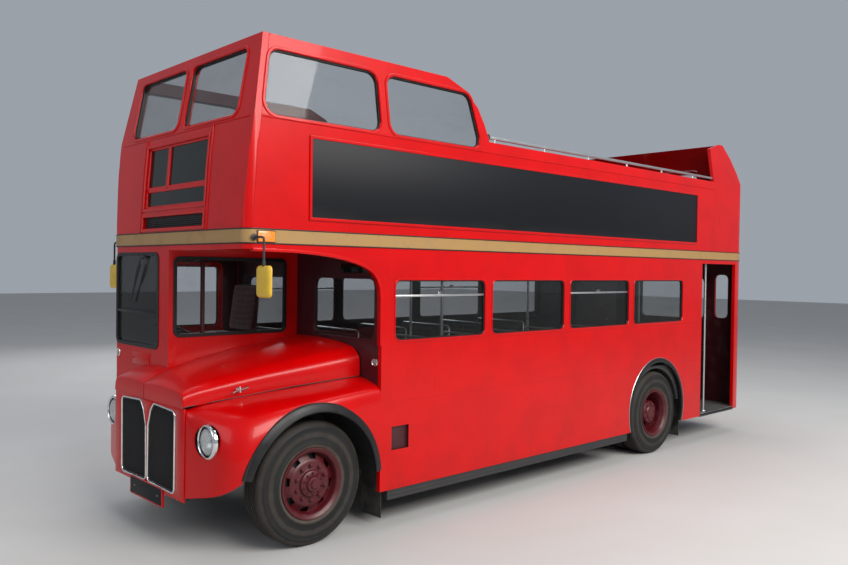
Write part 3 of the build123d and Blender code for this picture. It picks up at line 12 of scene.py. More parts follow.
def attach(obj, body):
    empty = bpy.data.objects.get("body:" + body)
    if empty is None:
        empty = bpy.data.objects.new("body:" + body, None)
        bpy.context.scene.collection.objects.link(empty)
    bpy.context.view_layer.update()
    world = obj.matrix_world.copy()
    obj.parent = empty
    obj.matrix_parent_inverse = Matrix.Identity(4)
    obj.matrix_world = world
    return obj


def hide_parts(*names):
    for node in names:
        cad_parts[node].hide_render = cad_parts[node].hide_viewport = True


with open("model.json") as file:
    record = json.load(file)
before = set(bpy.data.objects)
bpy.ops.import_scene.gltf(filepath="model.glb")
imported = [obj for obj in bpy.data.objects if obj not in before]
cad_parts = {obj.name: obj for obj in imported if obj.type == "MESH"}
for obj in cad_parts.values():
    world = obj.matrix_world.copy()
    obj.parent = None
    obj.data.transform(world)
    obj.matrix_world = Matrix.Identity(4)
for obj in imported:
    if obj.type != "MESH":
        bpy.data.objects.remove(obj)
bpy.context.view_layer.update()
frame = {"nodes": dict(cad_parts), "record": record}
RECORD_SLOTS = {row["node"]: row["material_slot"] for row in frame["record"]["subparts"]}

# Places shared with the part's source
FRONT_AXLE = 3.291
REAR_AXLE = -1.84
AXLE_Z = 0.508
HALF_WIDTH = 1.215
BULKHEAD_X = 2.657
CAB_FRONT_X = 3.971
UPPER_FRONT_X = 3.981
NOSE_X = 4.191
TAIL_X = -4.166
PLATFORM_X = -2.926
REAR_POST_X = -3.868
QUARTER_X = -3.229
PLATFORM_Z = 0.37
SALOON_Z = 0.66
DECK_UNDER_Z = 2.434
DECK_Z = 2.49
BAND_TOP_Z = 2.545
RAIL_WALL_Z = 3.495
KNEE_Z = 3.4
WINDOW_XS = [1.928, 0.671, -0.586, -1.843]
OPENING_WINDOWS = (0, 2)
FA = FRONT_AXLE
ARCH_X, ARCH_Z = FA + 0.02, 0.505
LAMP_X, LAMP_Y, LAMP_Z = FA + 0.806, 0.878, 0.918
NEWEL_X = FA - 6.75
DRIVER_Y = -0.63
SEAT_WIDTH, DRIVER_SEAT_WIDTH = 0.86, 0.46
# Stuffing of the seat pads: remesh size, pressure, frames run, and how near an edge is held still
PAD_VOXEL, PAD_PRESSURE, PAD_FRAMES, PAD_EDGE = 0.021, 5.0, 20, 0.026
# Set back of the upper front from its face, at heights
FRONT_LEAN = [(0.0, 0.0), (0.0, 2.545), (-0.035, 3.12), (-0.065, KNEE_Z), (-0.188, 4.05)]


def at(x, y, z):
    """A point or a direction."""
    return Vector((x, y, z))


def lean_x(z):
    """Face of the leaning upper front at a height."""
    for (back, low), (next_back, high) in zip(FRONT_LEAN, FRONT_LEAN[1:]):
        if z <= high:
            break
    share = (z - low) / (high - low)
    return UPPER_FRONT_X + back + (next_back - back) * share


def tail_at(z):
    """Face of the tail, which curves forward above the windows."""
    if z < 2.9:
        return TAIL_X
    return TAIL_X + 1.453 - (1.453**2 - (z - 2.9) ** 2) ** 0.5


def side_y(z):
    """Face of a side wall, which leans in above the upper waist."""
    return HALF_WIDTH if z < KNEE_Z else HALF_WIDTH - 0.095 * (z - KNEE_Z) / 0.65


# Shader arithmetic
def operator(operation, swapped=False):
    """A method that adds one Math node over a value and another."""

    def over(self, other):
        return self.maths(operation, *((other, self) if swapped else (self, other)))

    return over


class Field:
    """One shader value. Arithmetic on it adds Math nodes to its finish."""

    def __init__(self, finish, socket):
        self.finish = finish
        self.socket = socket

    def maths(self, operation, *values):
        """A Math node over the given values."""
        return self.finish.node("ShaderNodeMath", {"operation": operation}, dict(enumerate(values)))

    def __abs__(self):
        return self.maths("ABSOLUTE", self)

    __add__ = operator("ADD")
    __radd__ = operator("ADD", swapped=True)
    __sub__ = operator("SUBTRACT")
    __mul__ = operator("MULTIPLY")
    __pow__ = operator("POWER")
    __lt__ = operator("LESS_THAN")
    __gt__ = operator("GREATER_THAN")


class Finish:
    """One procedural material, named for what it is on the bus."""

    def __init__(self, name, **constants):
        self.material = bpy.data.materials.new(name)
        self.material.use_nodes = True
        self.tree = self.material.node_tree
        self.shader = self.tree.nodes["Principled BSDF"]
        for label, value in constants.items():
            self.shader.inputs[label.replace("_", " ")].default_value = value
        self.place = self.node("ShaderNodeTexCoord", output="Object")

    def node(self, kind, settings=None, sockets=None, output=0):
        """Any node: its settings are set first, then its sockets, and one output comes back."""
        made = self.tree.nodes.new(kind)
        for label, value in (settings or {}).items():
            setattr(made, label, value)
        for label, value in (sockets or {}).items():
            if isinstance(value, Field):
                self.tree.links.new(value.socket, made.inputs[label])
            else:
                made.inputs[label].default_value = value
        return Field(self, made.outputs[output])

    def stretched(self, scale):
        """Object coordinates stretched by a scale on each axis."""
        return self.node("ShaderNodeMapping", None, {"Vector": self.place, "Scale": scale})

    def noise(self, scale, detail=3.0, roughness=0.55, vector=None):
        """Soft noise from 0 to 1 at a scale in patches to the metre."""
        sockets = {"Vector": vector or self.place, "Scale": scale, "Detail": detail, "Roughness": roughness}
        return self.node("ShaderNodeTexNoise", None, sockets)

    def axes(self):
        """The x, y and z of the object coordinates, as three values."""
        split = self.node("ShaderNodeSeparateXYZ", None, {0: self.place})
        outputs = split.socket.node.outputs
        return [Field(self, outputs[index]) for index in range(3)]

    def span(self, value, low, high, first=0.0, last=1.0):
        """A value remapped from one span to another and held at its ends."""
        sockets = {0: value, 1: low, 2: high, 3: first, 4: last}
        return self.node("ShaderNodeMapRange", {"interpolation_type": "SMOOTHSTEP"}, sockets)

    def mix(self, mask, first, second):
        """A colour between two, by a mask."""
        sockets = {0: mask, 6: first, 7: second}
        return self.node("ShaderNodeMix", {"data_type": "RGBA"}, sockets, 2)

    def lines(self, value, places, half):
        """A mask that is 1 on thin lines where a value passes the given places."""
        mask = None
        for place in places:
            line = self.span(abs(value - place), half * 0.4, half, 1.0, 0.0)
            mask = line if mask is None else mask.maths("MAXIMUM", mask, line)
        return mask

    def wave(self, value, period):
        """A smooth ripple from 0 to 1 along a value."""
        return value.maths("SINE", value * (2 * pi / period)) * 0.5 + 0.5

    def drive(self, **sockets):
        """Links values to the shader's own sockets."""
        for label, value in sockets.items():
            self.tree.links.new(value.socket, self.shader.inputs[label.replace("_", " ")])
        return self

    def bump(self, height, distance, strength=1.0):
        """Bump from a height, in metres of distance."""
        sockets = {"Height": height, "Distance": distance, "Strength": strength}
        return self.drive(Normal=self.node("ShaderNodeBump", None, sockets, "Normal"))


SIDE_JOINTS_X = [2.5565, 1.2995, 0.0425, -1.2145, -2.4715]


def body_paint(name, colour, shade, coat):
    """Glossy coach paint with panel joints, faint waves, road dirt low down and light streaks."""
    paint = Finish(name, Roughness=0.3, Coat_Weight=coat, Coat_Roughness=0.05, Specular_IOR_Level=0.22)
    x, y, z = paint.axes()
    waves = paint.noise(1.3, 2.0)
    patches = paint.noise(2.6, 5.0, 0.6)
    streaks = paint.noise(1.0, 4.0, 0.6, paint.stretched((16.0, 16.0, 0.9)))
    grit = paint.noise(240.0, 2.0)
    low = paint.span(z, 0.32, 0.95, 1.0, 0.0)
    dirt = paint.span(patches * 0.5 + streaks * 0.4 + low * 0.35, 0.7, 1.15)
    on_side = abs(y) > 1.2
    upright = paint.lines(x, SIDE_JOINTS_X, 0.0022) * (z < 2.42)
    level = paint.lines(z, [1.105, 1.6], 0.002) * (x < 2.5)
    joints = upright.maths("MAXIMUM", upright, level) * on_side
    tone = paint.mix(paint.span(patches, 0.3, 0.75), colour, shade)
    tone = paint.mix(dirt * 0.35, tone, (0.16, 0.03, 0.025, 1.0))
    tone = paint.mix(joints * 0.5, tone, (shade[0] * 0.3, 0.001, 0.002, 1.0))
    paint.drive(
        Base_Color=tone,
        Roughness=0.26 + dirt * 0.4 + joints * 0.2 + streaks * 0.05,
        Coat_Weight=paint.span(dirt, 0.0, 1.0, coat, coat * 0.25),
    )
    return paint.bump(waves + grit * 0.008 - joints * 0.25, 0.004, 0.55).material


def worn_paint(name, colour, bare, scale=9.0, roughness=0.42):
    """Satin paint, dusty in patches and chipped to what is under it."""
    paint = Finish(name, Roughness=roughness)
    patches = paint.noise(scale, 6.0, 0.65)
    chips = paint.span(paint.noise(scale * 7.0, 4.0, 0.7), 0.69, 0.74)
    dust = paint.span(patches, 0.45, 0.8)
    tone = paint.mix(dust * 0.22, colour, (0.1, 0.07, 0.06, 1.0))
    tone = paint.mix(chips * 0.8, tone, bare)
    paint.drive(Base_Color=tone, Roughness=roughness + dust * 0.3 + chips * 0.1)
    return paint.bump(patches * 0.5 - chips * 0.6 + paint.noise(300.0, 2.0) * 0.1, 0.0012, 0.7).material


def metal(name, colour, roughness, wear=0.25, scale=14.0):
    """Bare or plated metal with smears, fine scratches and dull patches."""
    finish = Finish(name, Metallic=1.0, Roughness=roughness)
    smears = finish.noise(scale, 5.0, 0.6)
    scratches = finish.noise(1.0, 3.0, 0.6, finish.stretched((400.0, 40.0, 40.0)))
    dull = finish.span(smears, 0.42, 0.8)
    tone = finish.mix(dull * wear * 1.6, colour, (0.19, 0.17, 0.15, 1.0))
    finish.drive(Base_Color=tone, Roughness=roughness + dull * wear + scratches * 0.06)
    return finish.bump(scratches * 0.4 + smears * 0.4, 0.0005, 0.4).material


def rubber(name, colour, dust_colour, dust, roughness):
    """Rubber, grey where road dust lies on it."""
    finish = Finish(name, Roughness=roughness, Specular_IOR_Level=0.35)
    patches = finish.noise(7.0, 6.0, 0.65)
    fine = finish.noise(220.0, 3.0)
    dusty = finish.span(patches * 0.75 + fine * 0.25, 0.35, 0.75)
    finish.drive(
        Base_Color=finish.mix(dusty * dust, colour, dust_colour),
        Roughness=roughness + dusty * 0.2,
    )
    return finish.bump(fine * 0.6 + patches * 0.4, 0.0009, 0.6).material


def tyre_finish():
    """Tyre rubber: dark rings and brown dusty rings on the walls, scuffs and a brown ring near the rim."""
    finish = Finish("tyre rubber", Roughness=0.7, Specular_IOR_Level=0.3)
    x, _, z = finish.axes()
    rear = x < (FRONT_AXLE + REAR_AXLE) / 2
    along = x - FRONT_AXLE + rear * (FRONT_AXLE - REAR_AXLE)
    up = z - AXLE_Z
    radius = (along * along + up * up) ** 0.5
    patches = finish.noise(9.0, 6.0, 0.7)
    fine = finish.noise(160.0, 4.0, 0.6)
    rings = finish.span(finish.wave(radius + patches * 0.008, 0.094), 0.3, 0.9)
    dusty = finish.span(patches * 0.65 + fine * 0.2 + rings * 0.3, 0.38, 0.95)
    tone = finish.mix(dusty * 0.7, (0.01, 0.01, 0.01, 1.0), (0.06, 0.05, 0.042, 1.0))
    rim = finish.span(abs(radius - 0.303), 0.004, 0.02, 0.6, 0.0)
    tone = finish.mix(rim * patches, tone, (0.16, 0.12, 0.09, 1.0))
    finish.drive(Base_Color=tone, Roughness=0.58 + dusty * 0.3)
    return finish.bump(fine * 0.5 + patches * 0.3 + rings * 0.6, 0.0014, 0.7).material


def board_paint():
    """Blank black board: an even dark face, faintly dusty along its foot."""
    finish = Finish("black board paint", Roughness=0.5, Specular_IOR_Level=0.22)
    z = finish.axes()[2]
    patches = finish.noise(1.6, 4.0, 0.5)
    dust = finish.span(patches * 0.6 + finish.span(z, 2.62, 2.85, 0.4, 0.0), 0.5, 0.95)
    finish.drive(
        Base_Color=finish.mix(dust * 0.35, (0.004, 0.0045, 0.007, 1.0), (0.03, 0.028, 0.03, 1.0)),
        Roughness=0.46 + dust * 0.25,
    )
    return finish.bump(patches + finish.noise(180.0, 2.0) * 0.05, 0.002, 0.4).material


def glass(name, colour, clear, edge=0.75, roughness=0.02, ribs=0.0, gloss=1.0):
    """Glass: mostly clear, more mirror-like at a low angle, with dust, wipe marks and any fluting."""
    finish = Finish(
        name, Base_Color=colour, Roughness=roughness, Specular_IOR_Level=0.8 * gloss, Coat_Weight=0.6 * gloss,
    )
    facing = finish.node("ShaderNodeLayerWeight", None, {"Blend": 0.35}, "Facing")
    smears = finish.noise(2.2, 5.0, 0.6, finish.stretched((1.0, 1.0, 2.5)))
    dust = finish.span(smears, 0.45, 0.85)
    finish.drive(
        Alpha=finish.span(facing, 0.0, 1.0, clear, edge) + dust * 0.05,
        Roughness=roughness + dust * 0.09,
    )
    if ribs:
        _, y, z = finish.axes()
        return finish.bump(finish.wave(y, ribs) + finish.wave(z, ribs * 3) * 0.5, 0.002, 0.9).material
    return finish.bump(finish.noise(0.8, 1.0), 0.004, 0.25).material


def cloth(name, ground, stripe, thread):
    """Woven moquette in small checks and stripes, on object coordinates."""
    finish = Finish(name, Roughness=0.92, Sheen_Weight=0.5, Sheen_Roughness=0.5, Specular_IOR_Level=0.25)
    x, y, z = finish.axes()
    wide = finish.span(finish.wave(y, 0.096), 0.55, 0.62)
    narrow = finish.span(finish.wave(y, 0.024), 0.7, 0.8)
    across = finish.span(finish.wave(x + z, 0.048), 0.62, 0.7)
    weave = finish.wave(y, 0.0032) * finish.wave(x + z * 0.9, 0.0032)
    wear = finish.span(finish.noise(5.0, 4.0), 0.4, 0.8)
    tone = finish.mix(wide * 0.85, ground, stripe)
    tone = finish.mix(narrow * across * 0.45, tone, thread)
    tone = finish.mix(wear * 0.15, tone, (0.13, 0.1, 0.095, 1.0))
    finish.drive(Base_Color=tone)
    return finish.bump(weave + finish.noise(90.0, 2.0) * 0.6, 0.0012, 0.8).material


def slatted(name, colour, groove, pitch, dirt=0.4):
    """Ribbed covering with grooves along the bus, scuffed in patches."""
    finish = Finish(name, Roughness=0.7)
    y = finish.axes()[1]
    ribs = finish.span(finish.wave(y, pitch), 0.25, 0.5)
    scuffs = finish.span(finish.noise(6.0, 6.0, 0.7), 0.4, 0.8)
    tone = finish.mix(ribs, groove, colour)
    tone = finish.mix(scuffs * dirt, tone, (0.16, 0.145, 0.125, 1.0))
    finish.drive(Base_Color=tone, Roughness=0.6 + scuffs * 0.3)
    return finish.bump(ribs + scuffs * 0.2, 0.003, 0.9).material


def lens(name, colour):
    """Moulded lamp lens with fine ribs."""
    finish = Finish(name, Base_Color=colour, Roughness=0.12, Coat_Weight=0.8, Subsurface_Weight=0.15)
    x, y, z = finish.axes()
    tone = finish.mix(finish.span(finish.noise(40.0, 3.0), 0.4, 0.8) * 0.3, colour, (0.25, 0.25, 0.25, 1.0))
    finish.drive(Base_Color=tone)
    return finish.bump(finish.wave(z, 0.006) * 0.7 + finish.wave(y + x, 0.006) * 0.3, 0.0012, 0.6).material


SLOT_FINISH, SLOT_OF = {}, {}


def in_slot(slot, finish):
    """Notes the slot of a finish. The first finish noted is the one that the slot's CAD nodes wear."""
    SLOT_FINISH.setdefault(slot, finish)
    SLOT_OF[finish.name] = slot
    return finish


RED = in_slot(
    "red_paint", body_paint("red coach paint", (0.54, 0.0003, 0.0006, 1.0), (0.46, 0.0003, 0.0008, 1.0), 0.16),
)
# Dark maroon for faces inside the bus, and painted shade in the side recess, under the canopy, on the bulkhead and
# route box, on the cab's window post and in the gap between bonnet and nose.
INNER_RED_AND_SHADE = in_slot(
    "red_paint", worn_paint("dark maroon inner paint and painted shade", (0.045, 0.002, 0.006, 1.0), (0.14, 0.08, 0.07, 1.0), 6.0),
)
CREAM = worn_paint("cream ceiling paint", (0.52, 0.46, 0.33, 1.0), (0.35, 0.3, 0.24, 1.0), 5.0)
MAROON = in_slot(
    "maroon_paint", worn_paint("maroon wheel paint", (0.072, 0.002, 0.006, 1.0), (0.16, 0.09, 0.07, 1.0), 12.0, 0.4),
)
GOLD = in_slot(
    "gold_paint", worn_paint("tan band paint", (0.35, 0.205, 0.072, 1.0), (0.26, 0.16, 0.07, 1.0), 4.0, 0.38),
)
BOARD = in_slot("board_black", board_paint())
CHROME = in_slot("bright_metal", metal("bright plate", (0.8, 0.8, 0.79, 1.0), 0.1, 0.16))
ALLOY = in_slot("rail_metal", metal("satin rail metal", (0.6, 0.61, 0.62, 1.0), 0.3, 0.25))
DARK = in_slot(
    "dark_metal", worn_paint("dark chassis paint", (0.022, 0.022, 0.024, 1.0), (0.12, 0.07, 0.045, 1.0), 8.0, 0.6),
)
CAST = in_slot(
    "cast_metal", worn_paint("grey engine paint", (0.11, 0.13, 0.13, 1.0), (0.06, 0.05, 0.045, 1.0), 7.0, 0.6),
)
TYRE = in_slot("tyre_rubber", tyre_finish())
RUBBER = in_slot(
    "black_rubber", rubber("black trim rubber", (0.007, 0.007, 0.008, 1.0), (0.04, 0.037, 0.035, 1.0), 0.2, 0.34),
)
FLAP = rubber("mudflap rubber", (0.014, 0.014, 0.014, 1.0), (0.1, 0.09, 0.075, 1.0), 0.8, 0.75)
GLASS = in_slot("window_glass", glass("window glass", (0.02, 0.028, 0.026, 1.0), 0.07, 0.62))
CLOTH = in_slot(
    "seat_cloth",
    cloth("seat moquette", (0.1, 0.01, 0.016, 1.0), (0.035, 0.022, 0.026, 1.0), (0.36, 0.25, 0.09, 1.0)),
)
FLOOR = in_slot("floor_covering", slatted("ribbed floor", (0.12, 0.115, 0.105, 1.0), (0.02, 0.02, 0.02, 1.0), 0.03))
CORE = slatted("radiator core", (0.05, 0.05, 0.052, 1.0), (0.006, 0.006, 0.006, 1.0), 0.009, 0.5)
BLIND = in_slot("board_black", glass("dark blind glass", (0.004, 0.008, 0.006, 1.0), 0.96, 1.0, 0.1, 0.0, 0.3))
LAMP_GLASS = in_slot("window_glass", glass("fluted lamp glass", (0.62, 0.66, 0.66, 1.0), 0.28, 0.8, 0.04, 0.012))
PIPING = rubber("seat piping", (0.05, 0.004, 0.008, 1.0), (0.1, 0.07, 0.06, 1.0), 0.3, 0.5)
AMBER = in_slot("lamp_lens", lens("amber lens", (0.85, 0.24, 0.008, 1.0)))
RED_LENS = in_slot("lamp_lens", lens("red lens", (0.55, 0.008, 0.008, 1.0)))
YELLOW = in_slot(
    "mirror_back", worn_paint("yellow mirror back", (0.66, 0.42, 0.035, 1.0), (0.4, 0.3, 0.15, 1.0), 10.0, 0.35),
)


# Mesh helpers
def settle(mesh, angle=35.0):
    """Smooth shading, kept sharp over the angle."""
    mesh.shade_smooth()
    mesh.set_sharp_from_angle(angle=radians(angle))


def linked(name, data):
    """A new object in the scene."""
    made = bpy.data.objects.new(name, data)
    bpy.context.scene.collection.objects.link(made)
    return made


def applied(holder):
    """An object's mesh with its modifiers applied."""
    bpy.context.view_layer.update()
    return bpy.data.meshes.new_from_object(holder.evaluated_get(bpy.context.evaluated_depsgraph_get()))


@contextmanager
def editing(mesh):
    """A mesh opened for editing and written back."""
    work = bmesh.new()
    work.from_mesh(mesh)
    yield work
    work.to_mesh(mesh)
    work.free()


def piece(name, mesh, finish=None, replaces=(), body="body", angle=35.0):
    """A finished piece of the bus on its body, from a shape, a mesh or a list of meshes with finishes."""
    if isinstance(mesh, list):
        mesh, finish = several(mesh, name)
    elif isinstance(mesh, Shape):
        mesh = mesh.mesh()
    made = linked(name, mesh)
    finishes = finish if isinstance(finish, list) else [finish]
    picks = [polygon.material_index for polygon in mesh.polygons]
    mesh.materials.clear()
    for one in finishes:
        mesh.materials.append(one)
    mesh.polygons.foreach_set("material_index", picks)
    settle(mesh, angle)
    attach(made, body)
    if replaces:
        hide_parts(*replaces)
    return made


def baked(mesh, modifiers):
    """A mesh with modifiers applied. Each is (kind, settings)."""
    holder = linked("holder", mesh)
    for kind, settings in modifiers:
        modifier = holder.modifiers.new(kind.lower(), kind)
        for label, value in settings.items():
            setattr(modifier, label, value)
    result = applied(holder)
    bpy.data.objects.remove(holder)
    return result


def merged(node):
    """A copy of a CAD node's mesh with its doubles merged and flat faces joined."""
    mesh = frame["nodes"][node].data.copy()
    with editing(mesh) as work:
        bmesh.ops.remove_doubles(work, verts=work.verts, dist=0.00002)
        bmesh.ops.dissolve_limit(work, angle_limit=radians(0.6), verts=work.verts, edges=work.edges)
    return mesh


def body_of(node):
    """The body that carries a CAD node."""
    for body, members in frame["record"]["behaviour"]["bodies"].items():
        if node in members:
            return body
    return "body"


def dress(node, finish=None, bevel=0.003, paint_by=None):
    """A bevelled copy of a CAD node, which takes its place. paint_by picks a finish for each face."""
    settings = {"width": bevel, "segments": 2, "limit_method": "ANGLE", "angle_limit": radians(30)}
    mesh = baked(merged(node), [("BEVEL", settings)])
    settle(mesh)
    mesh = baked(mesh, [("WEIGHTED_NORMAL", {"weight": 80, "keep_sharp": True})])
    slot = RECORD_SLOTS[node]
    piece(f"{node}.form", mesh, finish or SLOT_FINISH[slot], [node], body_of(node))
    if paint_by:
        for polygon in mesh.polygons:
            polygon.material_index = paint_by(polygon.center, polygon.normal)


def wall_faces(centre, normal):
    """0 for an outer face, 1 for one that looks into the bus or lies in the side recess, and 2 for one in a wheel
    arch. In the recess the dark maroon is painted shade.
    """
    if centre.x > BULKHEAD_X and -0.07 < centre.y < -0.05 and normal.y > 0.5:
        return 0
    if abs(centre.y) < 1.19 and normal.y * centre.y < -0.3 * abs(centre.y):
        return 1
    if centre.x > 3.5 and normal.x < -0.7 and centre.x < UPPER_FRONT_X - 0.03:
        return 1
    if centre.x < -3.9 and normal.x > 0.7:
        return 1
    # The side recess: its faces in dark maroon, as painted shade.
    if FA - 0.96 < centre.x < FA - 0.76 and 0.68 < centre.z < 0.89 and abs(centre.y) > 1.1 and abs(centre.y) < 1.213:
        return 1
    for axle in (ARCH_X, REAR_AXLE):
        if abs(normal.y) < 0.5 and hypot(centre.x - axle, centre.z - 0.52) < 0.68:
            return 2
    if centre.x > 2.6 and centre.x < 2.67 and normal.x > 0.7 and centre.z < 1.2:
        return 2
    return 0


class Shape:
    """Mesh geometry gathered from swept rims, turned rings, tubes, slabs and skins."""

    def __init__(self):
        self.work = bmesh.new()

    def skin(self, rows, closed=False, ends=False):
        """Quads between rows of points; closed joins each row's ends and ends caps the first and last row."""
        layers = [[self.work.verts.new(point) for point in row] for row in rows]
        for row, following in zip(layers, layers[1:]):
            last = len(row) if closed else len(row) - 1
            for place in range(last):
                after = (place + 1) % len(row)
                corners = (row[place], row[after], following[after], following[place])
                self.work.faces.new(corners)
        if ends:
            self.work.faces.new(layers[0][::-1])
            self.work.faces.new(layers[-1])
        return layers

    def sweep(self, points, normals, profile, closed=True):
        """A profile of (across, out) points carried along a path. Normals say which way is out."""
        count = len(points)
        points = [Vector(point) for point in points]
        if not isinstance(normals[0], (list, tuple, Vector)):
            normals = [normals] * count
        rows = []
        for place, (point, normal) in enumerate(zip(points, normals)):
            before = points[place - 1] if place or closed else point
            after = points[(place + 1) % count] if place < count - 1 or closed else point
            run_in = (point - before).normalized() if point != before else (after - point).normalized()
            run_out = (after - point).normalized() if point != after else run_in
            normal = Vector(normal).normalized()
            along = (run_in + run_out).normalized()
            across = normal.cross(along).normalized()
            mitre = min(1.0 / max(across.dot(normal.cross(run_in).normalized()), 0.3), 2.5)
            rows.append([point + across * side * mitre + normal * out for side, out in profile])
        if closed:
            rows.append(rows[0])
        self.skin(rows, closed=True, ends=not closed)
        if closed:
            bmesh.ops.remove_doubles(self.work, verts=self.work.verts[-2 * len(profile) :], dist=1e-7)
        return self

    def turn(self, profile, centre, axis=(0, 1, 0), segments=48):
        """A ring or disc turned about an axis, from (radius, along the axis) points."""
        axis = Vector(axis).normalized()
        first = axis.orthogonal().normalized()
        if abs(axis.y) > 0.9:
            first = at(1, 0, 0)
        second = axis.cross(first)
        rows = []
        for step in range(segments):
            angle = 2 * pi * step / segments
            spoke = first * cos(angle) + second * sin(angle)
            rows.append([Vector(centre) + spoke * max(radius, 0.00001) + axis * along for radius, along in profile])
        rows.append(rows[0])
        fresh = len(self.work.verts)
        self.skin(rows)
        bmesh.ops.remove_doubles(self.work, verts=self.work.verts[fresh:], dist=0.00003)
        return self

    def tube(self, points, radius, sides=12, closed=False):
        """A round bar along points."""
        points = [Vector(point) for point in points]
        ring = [(cos(2 * pi * side / sides) * radius, sin(2 * pi * side / sides) * radius) for side in range(sides)]
        run = (points[1] - points[0]).normalized()
        normal = run.orthogonal().normalized()
        normals = []
        for place in range(len(points)):
            after = points[min(place + 1, len(points) - 1)]
            before = points[max(place - 1, 0)]
            run = (after - before).normalized()
            normal = (normal - run * normal.dot(run)).normalized()
            normals.append(normal)
        return self.sweep(points, normals, ring, closed=closed)

    def slab(self, x, y, z, edge=0.004):
        """A block between limits with rounded edges."""
        fresh = bmesh.new()
        bmesh.ops.create_cube(fresh, size=1.0)
        for vert in fresh.verts:
            vert.co = Vector(
                (
                    x[0] if vert.co.x < 0 else x[1],
                    y[0] if vert.co.y < 0 else y[1],
                    z[0] if vert.co.z < 0 else z[1],
                )
            )
        if edge:
            bmesh.ops.bevel(fresh, geom=fresh.edges, offset=edge, segments=2, affect="EDGES", profile=0.5)
        mesh = bpy.data.meshes.new("slab")
        fresh.to_mesh(mesh)
        fresh.free()
        self.work.from_mesh(mesh)
        bpy.data.meshes.remove(mesh)
        return self

    def mesh(self, finish=None, outward=True):
        """The made mesh in a finish, its faces turned outward."""
        if outward:
            bmesh.ops.recalc_face_normals(self.work, faces=self.work.faces)
        made = bpy.data.meshes.new("part")
        self.work.to_mesh(made)
        self.work.free()
        if finish:
            made.materials.append(finish)
        return made


def half_round(width, height, steps=4):
    """Profile of a bead: flat on its seat and round on top."""
    arch = [(-cos(pi * step / steps) * width / 2, sin(pi * step / steps) * height) for step in range(steps + 1)]
    return arch[::-1] + [(-width / 2, -0.002), (width / 2, -0.002)]


def square_lip(low, high, seat, top, soft=0.002):
    """Profile of a flat strip between two sides, with its outer corners softened."""
    return [
        (low, seat),
        (low, top - soft),
        (low + soft, top),
        (high - soft, top),
        (high, top - soft),
        (high, seat),
    ]


def oblong(left, right, low, high):
    """Profile of a plain bar."""
    return [(left, low), (left, high), (right, high), (right, low)]


def round_corners(points, radius, steps=6):
    """A flat outline with its convex corners rounded."""
    outline = []
    for place, (x, y) in enumerate(points):
        before, after = points[place - 1], points[(place + 1) % len(points)]
        run_in = atan2(before[1] - y, before[0] - x)
        opening = (atan2(after[1] - y, after[0] - x) - run_in) % (2 * pi)
        turning = 1 if opening > pi else -1
        half = min(opening, 2 * pi - opening) / 2
        bisector = run_in - turning * half
        middle = (x + radius / sin(half) * cos(bisector), y + radius / sin(half) * sin(bisector))
        start = run_in + turning * pi / 2
        for step in range(steps + 1):
            angle = start + turning * (pi - 2 * half) * step / steps
            outline.append((middle[0] + radius * cos(angle), middle[1] + radius * sin(angle)))
    return outline


def finer(outline, longest=0.25):
    """A closed flat outline with its long runs divided, so that it can follow a curved wall."""
    result = []
    for place, (x, y) in enumerate(outline):
        following = outline[(place + 1) % len(outline)]
        length = hypot(following[0] - x, following[1] - y)
        parts = max(1, int(length / longest))
        for part in range(parts):
            share = part / parts
            result.append((x + (following[0] - x) * share, y + (following[1] - y) * share))
    return result


def corners(x, y):
    """The four corners of a rectangle."""
    return [(x[0], y[0]), (x[1], y[0]), (x[1], y[1]), (x[0], y[1])]


def side_view(outline, y):
    """Points of a side view outline at a y."""
    return [at(x, y, z) for x, z in outline]


def front_view(outline, x):
    """Points of a front view outline at an x."""
    return [at(x, y, z) for y, z in outline]


def on_side(outline, side):
    """Points and normals of a side view outline laid on a side wall."""
    points = [at(x, side * side_y(z), z) for x, z in finer(outline)[::side]]
    return points, [at(0, side, 0.146 if point.z > KNEE_Z else 0.0) for point in points]


def on_front(outline, out=0.0):
    """Points and normals of a front view outline laid on the leaning upper front."""
    points = [at(lean_x(z) + out, y, z) for y, z in finer(outline)[::-1]]
    return points, [at(1, 0, 0.2 if point.z > KNEE_Z else 0.06) for point in points]


def on_wall(outline, x):
    """Points and normals of a front view outline on an upright cross wall that faces forward."""
    return front_view(outline[::-1], x), [at(1, 0, 0)] * len(outline)


def round_body(z, out=0.0, x_rear=None):
    """Points and normals of the body's outline at a height, from the nearside tail round the front."""
    front, tail, side = lean_x(z) + out, tail_at(z) - out, side_y(z) + out
    nose_r, tail_r = 0.09 + out, 0.23 + out
    points, normals = [], []

    def arc(x, y, radius, start, steps):
        for step in range(steps + 1):
            angle = radians(start + 90 * step / steps)
            normals.append(at(cos(angle), sin(angle), 0))
            points.append(at(x, y, z) + normals[-1] * radius)

    arc(front - nose_r, -side + nose_r, nose_r, -90, 6)
    arc(front - nose_r, side - nose_r, nose_r, 0, 6)
    if x_rear is None:
        arc(tail + tail_r, side - tail_r, tail_r, 90, 8)
        arc(tail + tail_r, -side + tail_r, tail_r, 180, 8)
        return points, normals
    points.append(at(x_rear, side, z))
    normals.append(at(0, 1, 0))
    points.insert(0, at(x_rear, -side, z))
    normals.insert(0, at(0, -1, 0))
    return points, normals


